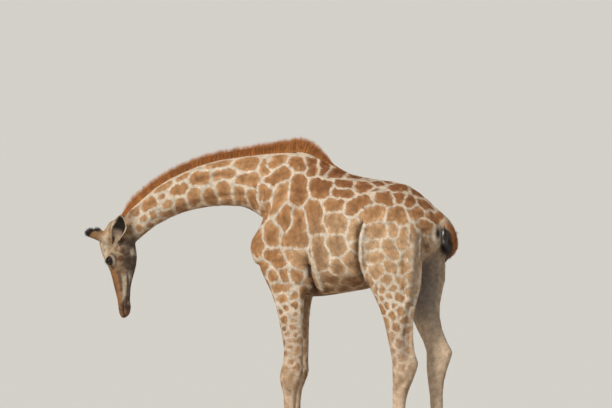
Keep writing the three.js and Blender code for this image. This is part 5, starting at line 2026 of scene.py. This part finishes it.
# A low tone makes the whole blade dark, as painted shade between the strands.
put(core, "tuft", np.full(rows * columns, 0.02))
piece("mane_core", core, mane_hair, "mane", "mane")
print("mane core", rows, "rings of", columns)

# %% [markdown]
# The hair grows on a strip laid over the crest. It leans back along the neck and splays to the sides.

# %% Mane hair
splay = np.linspace(-1, 1, 9)
bed = along_crest(splay, 0.004 * splay**2)
grid = np.arange(bed.shape[0] * bed.shape[1]).reshape(bed.shape[:2])
quads = np.stack([grid[:-1, :-1], grid[1:, :-1], grid[1:, 1:], grid[:-1, 1:]], -1).reshape(-1, 4)
roots = bed.reshape(-1, 3)
bed_mesh = bpy.data.meshes.new("mane_bed")
bed_mesh.from_pydata(roots.tolist(), [], quads.tolist())
bed_mesh.update()
if bed_mesh.polygons[0].normal.z < 0:
    bed_mesh.flip_normals()
lean = (0.3 + 0.09 * cloud_of(roots, 0.035, 9)).reshape(bed.shape[:2])
ragged = (1 + 0.045 * cloud_of(roots, 0.03, 10)).reshape(bed.shape[:2])
lie = rise[:, None] + np.array([0, 1, 0]) * (0.3 * splay)[None, :, None] + run[:, None] * lean[..., None]
put(bed_mesh, "lie", (lie / np.linalg.norm(lie, axis=2, keepdims=True)).reshape(-1, 3), "FLOAT_VECTOR")
put(bed_mesh, "hair_length", (ragged * tall[:, None] * (1 - 0.14 * splay**2)[None, :]).ravel())
put(bed_mesh, "hairy", np.repeat(0.92 + 0.7 * ramp(tall, 1.05, 1.3), len(splay)))
unwrap(bed_mesh)
mane_tree = tuft_tree(mane_hair, 3, 0.0, 0.84, 1.08)
grow("mane_hair", bed_mesh, mane_tree, "mane", "hairy", 150000, MANE_HEIGHT * 0.92, 0.0022, 0.0, 0.09, 12)

# %% [markdown]
# ## Tail tuft
# The tail ends in a hank of coarse black hair 43 cm long. Each strand is a three-sided spike of ten
# rings that follows the hank's outline at its own depth in it, with a slow wave of its own.

# %% Tail tuft
STRANDS = 620
STRAND_RINGS = 10
# the hank's middle line in mm, from the root down, and how thick the hank is at each of its points
TUFT_LINE = [(518, 344, 1480), (514, 346, 1400), (512, 347, 1280), (512, 346, 1140), (514, 344, 1030)]
TUFT_GIRTH = [15, 30, 38, 27, 9]
line = np.array(TUFT_LINE) / 1000 + ORIGIN
girth = np.array(TUFT_GIRTH) / 1000
t = np.linspace(0, 1, STRAND_RINGS)[None, :] * rng.uniform(0.55, 1.0, STRANDS)[:, None]
steps = np.linspace(0, 1, len(line))
paths = np.stack([np.interp(t, steps, line[:, k]) for k in range(3)], 2)
outline = np.interp(t, steps, girth)
turn = rng.uniform(0, 2 * np.pi, STRANDS)[:, None]
depth = np.sqrt(rng.uniform(0.02, 1.0, STRANDS))[:, None]
wave = 0.12 * np.sin(t * rng.uniform(6, 12, STRANDS)[:, None] + rng.uniform(0, 6, STRANDS)[:, None])
angle = turn + wave + 0.5 * t
paths[..., 0] += outline * depth * np.cos(angle)
paths[..., 1] += outline * depth * np.sin(angle)
widths = np.linspace(0.0022, 0.0004, STRAND_RINGS)[None, :] * rng.uniform(0.7, 1.3, STRANDS)[:, None]
piece("tail_tuft_hair", spikes(paths, widths), black_hair, "black_hair", "tail_tuft")
print(STRANDS, "strands in the tail's tuft")

# %% [markdown]
# ## Size, and the end
# The size of the finished model is kept beside the size of the solids that it replaces.

# %% Finish
model_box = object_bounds()
sizes = {
    "solids": [list(corner) for corner in solid_box],
    "model": [list(corner) for corner in model_box],
}
print("box of the model", [[round(v, 4) for v in corner] for corner in sizes["model"]])
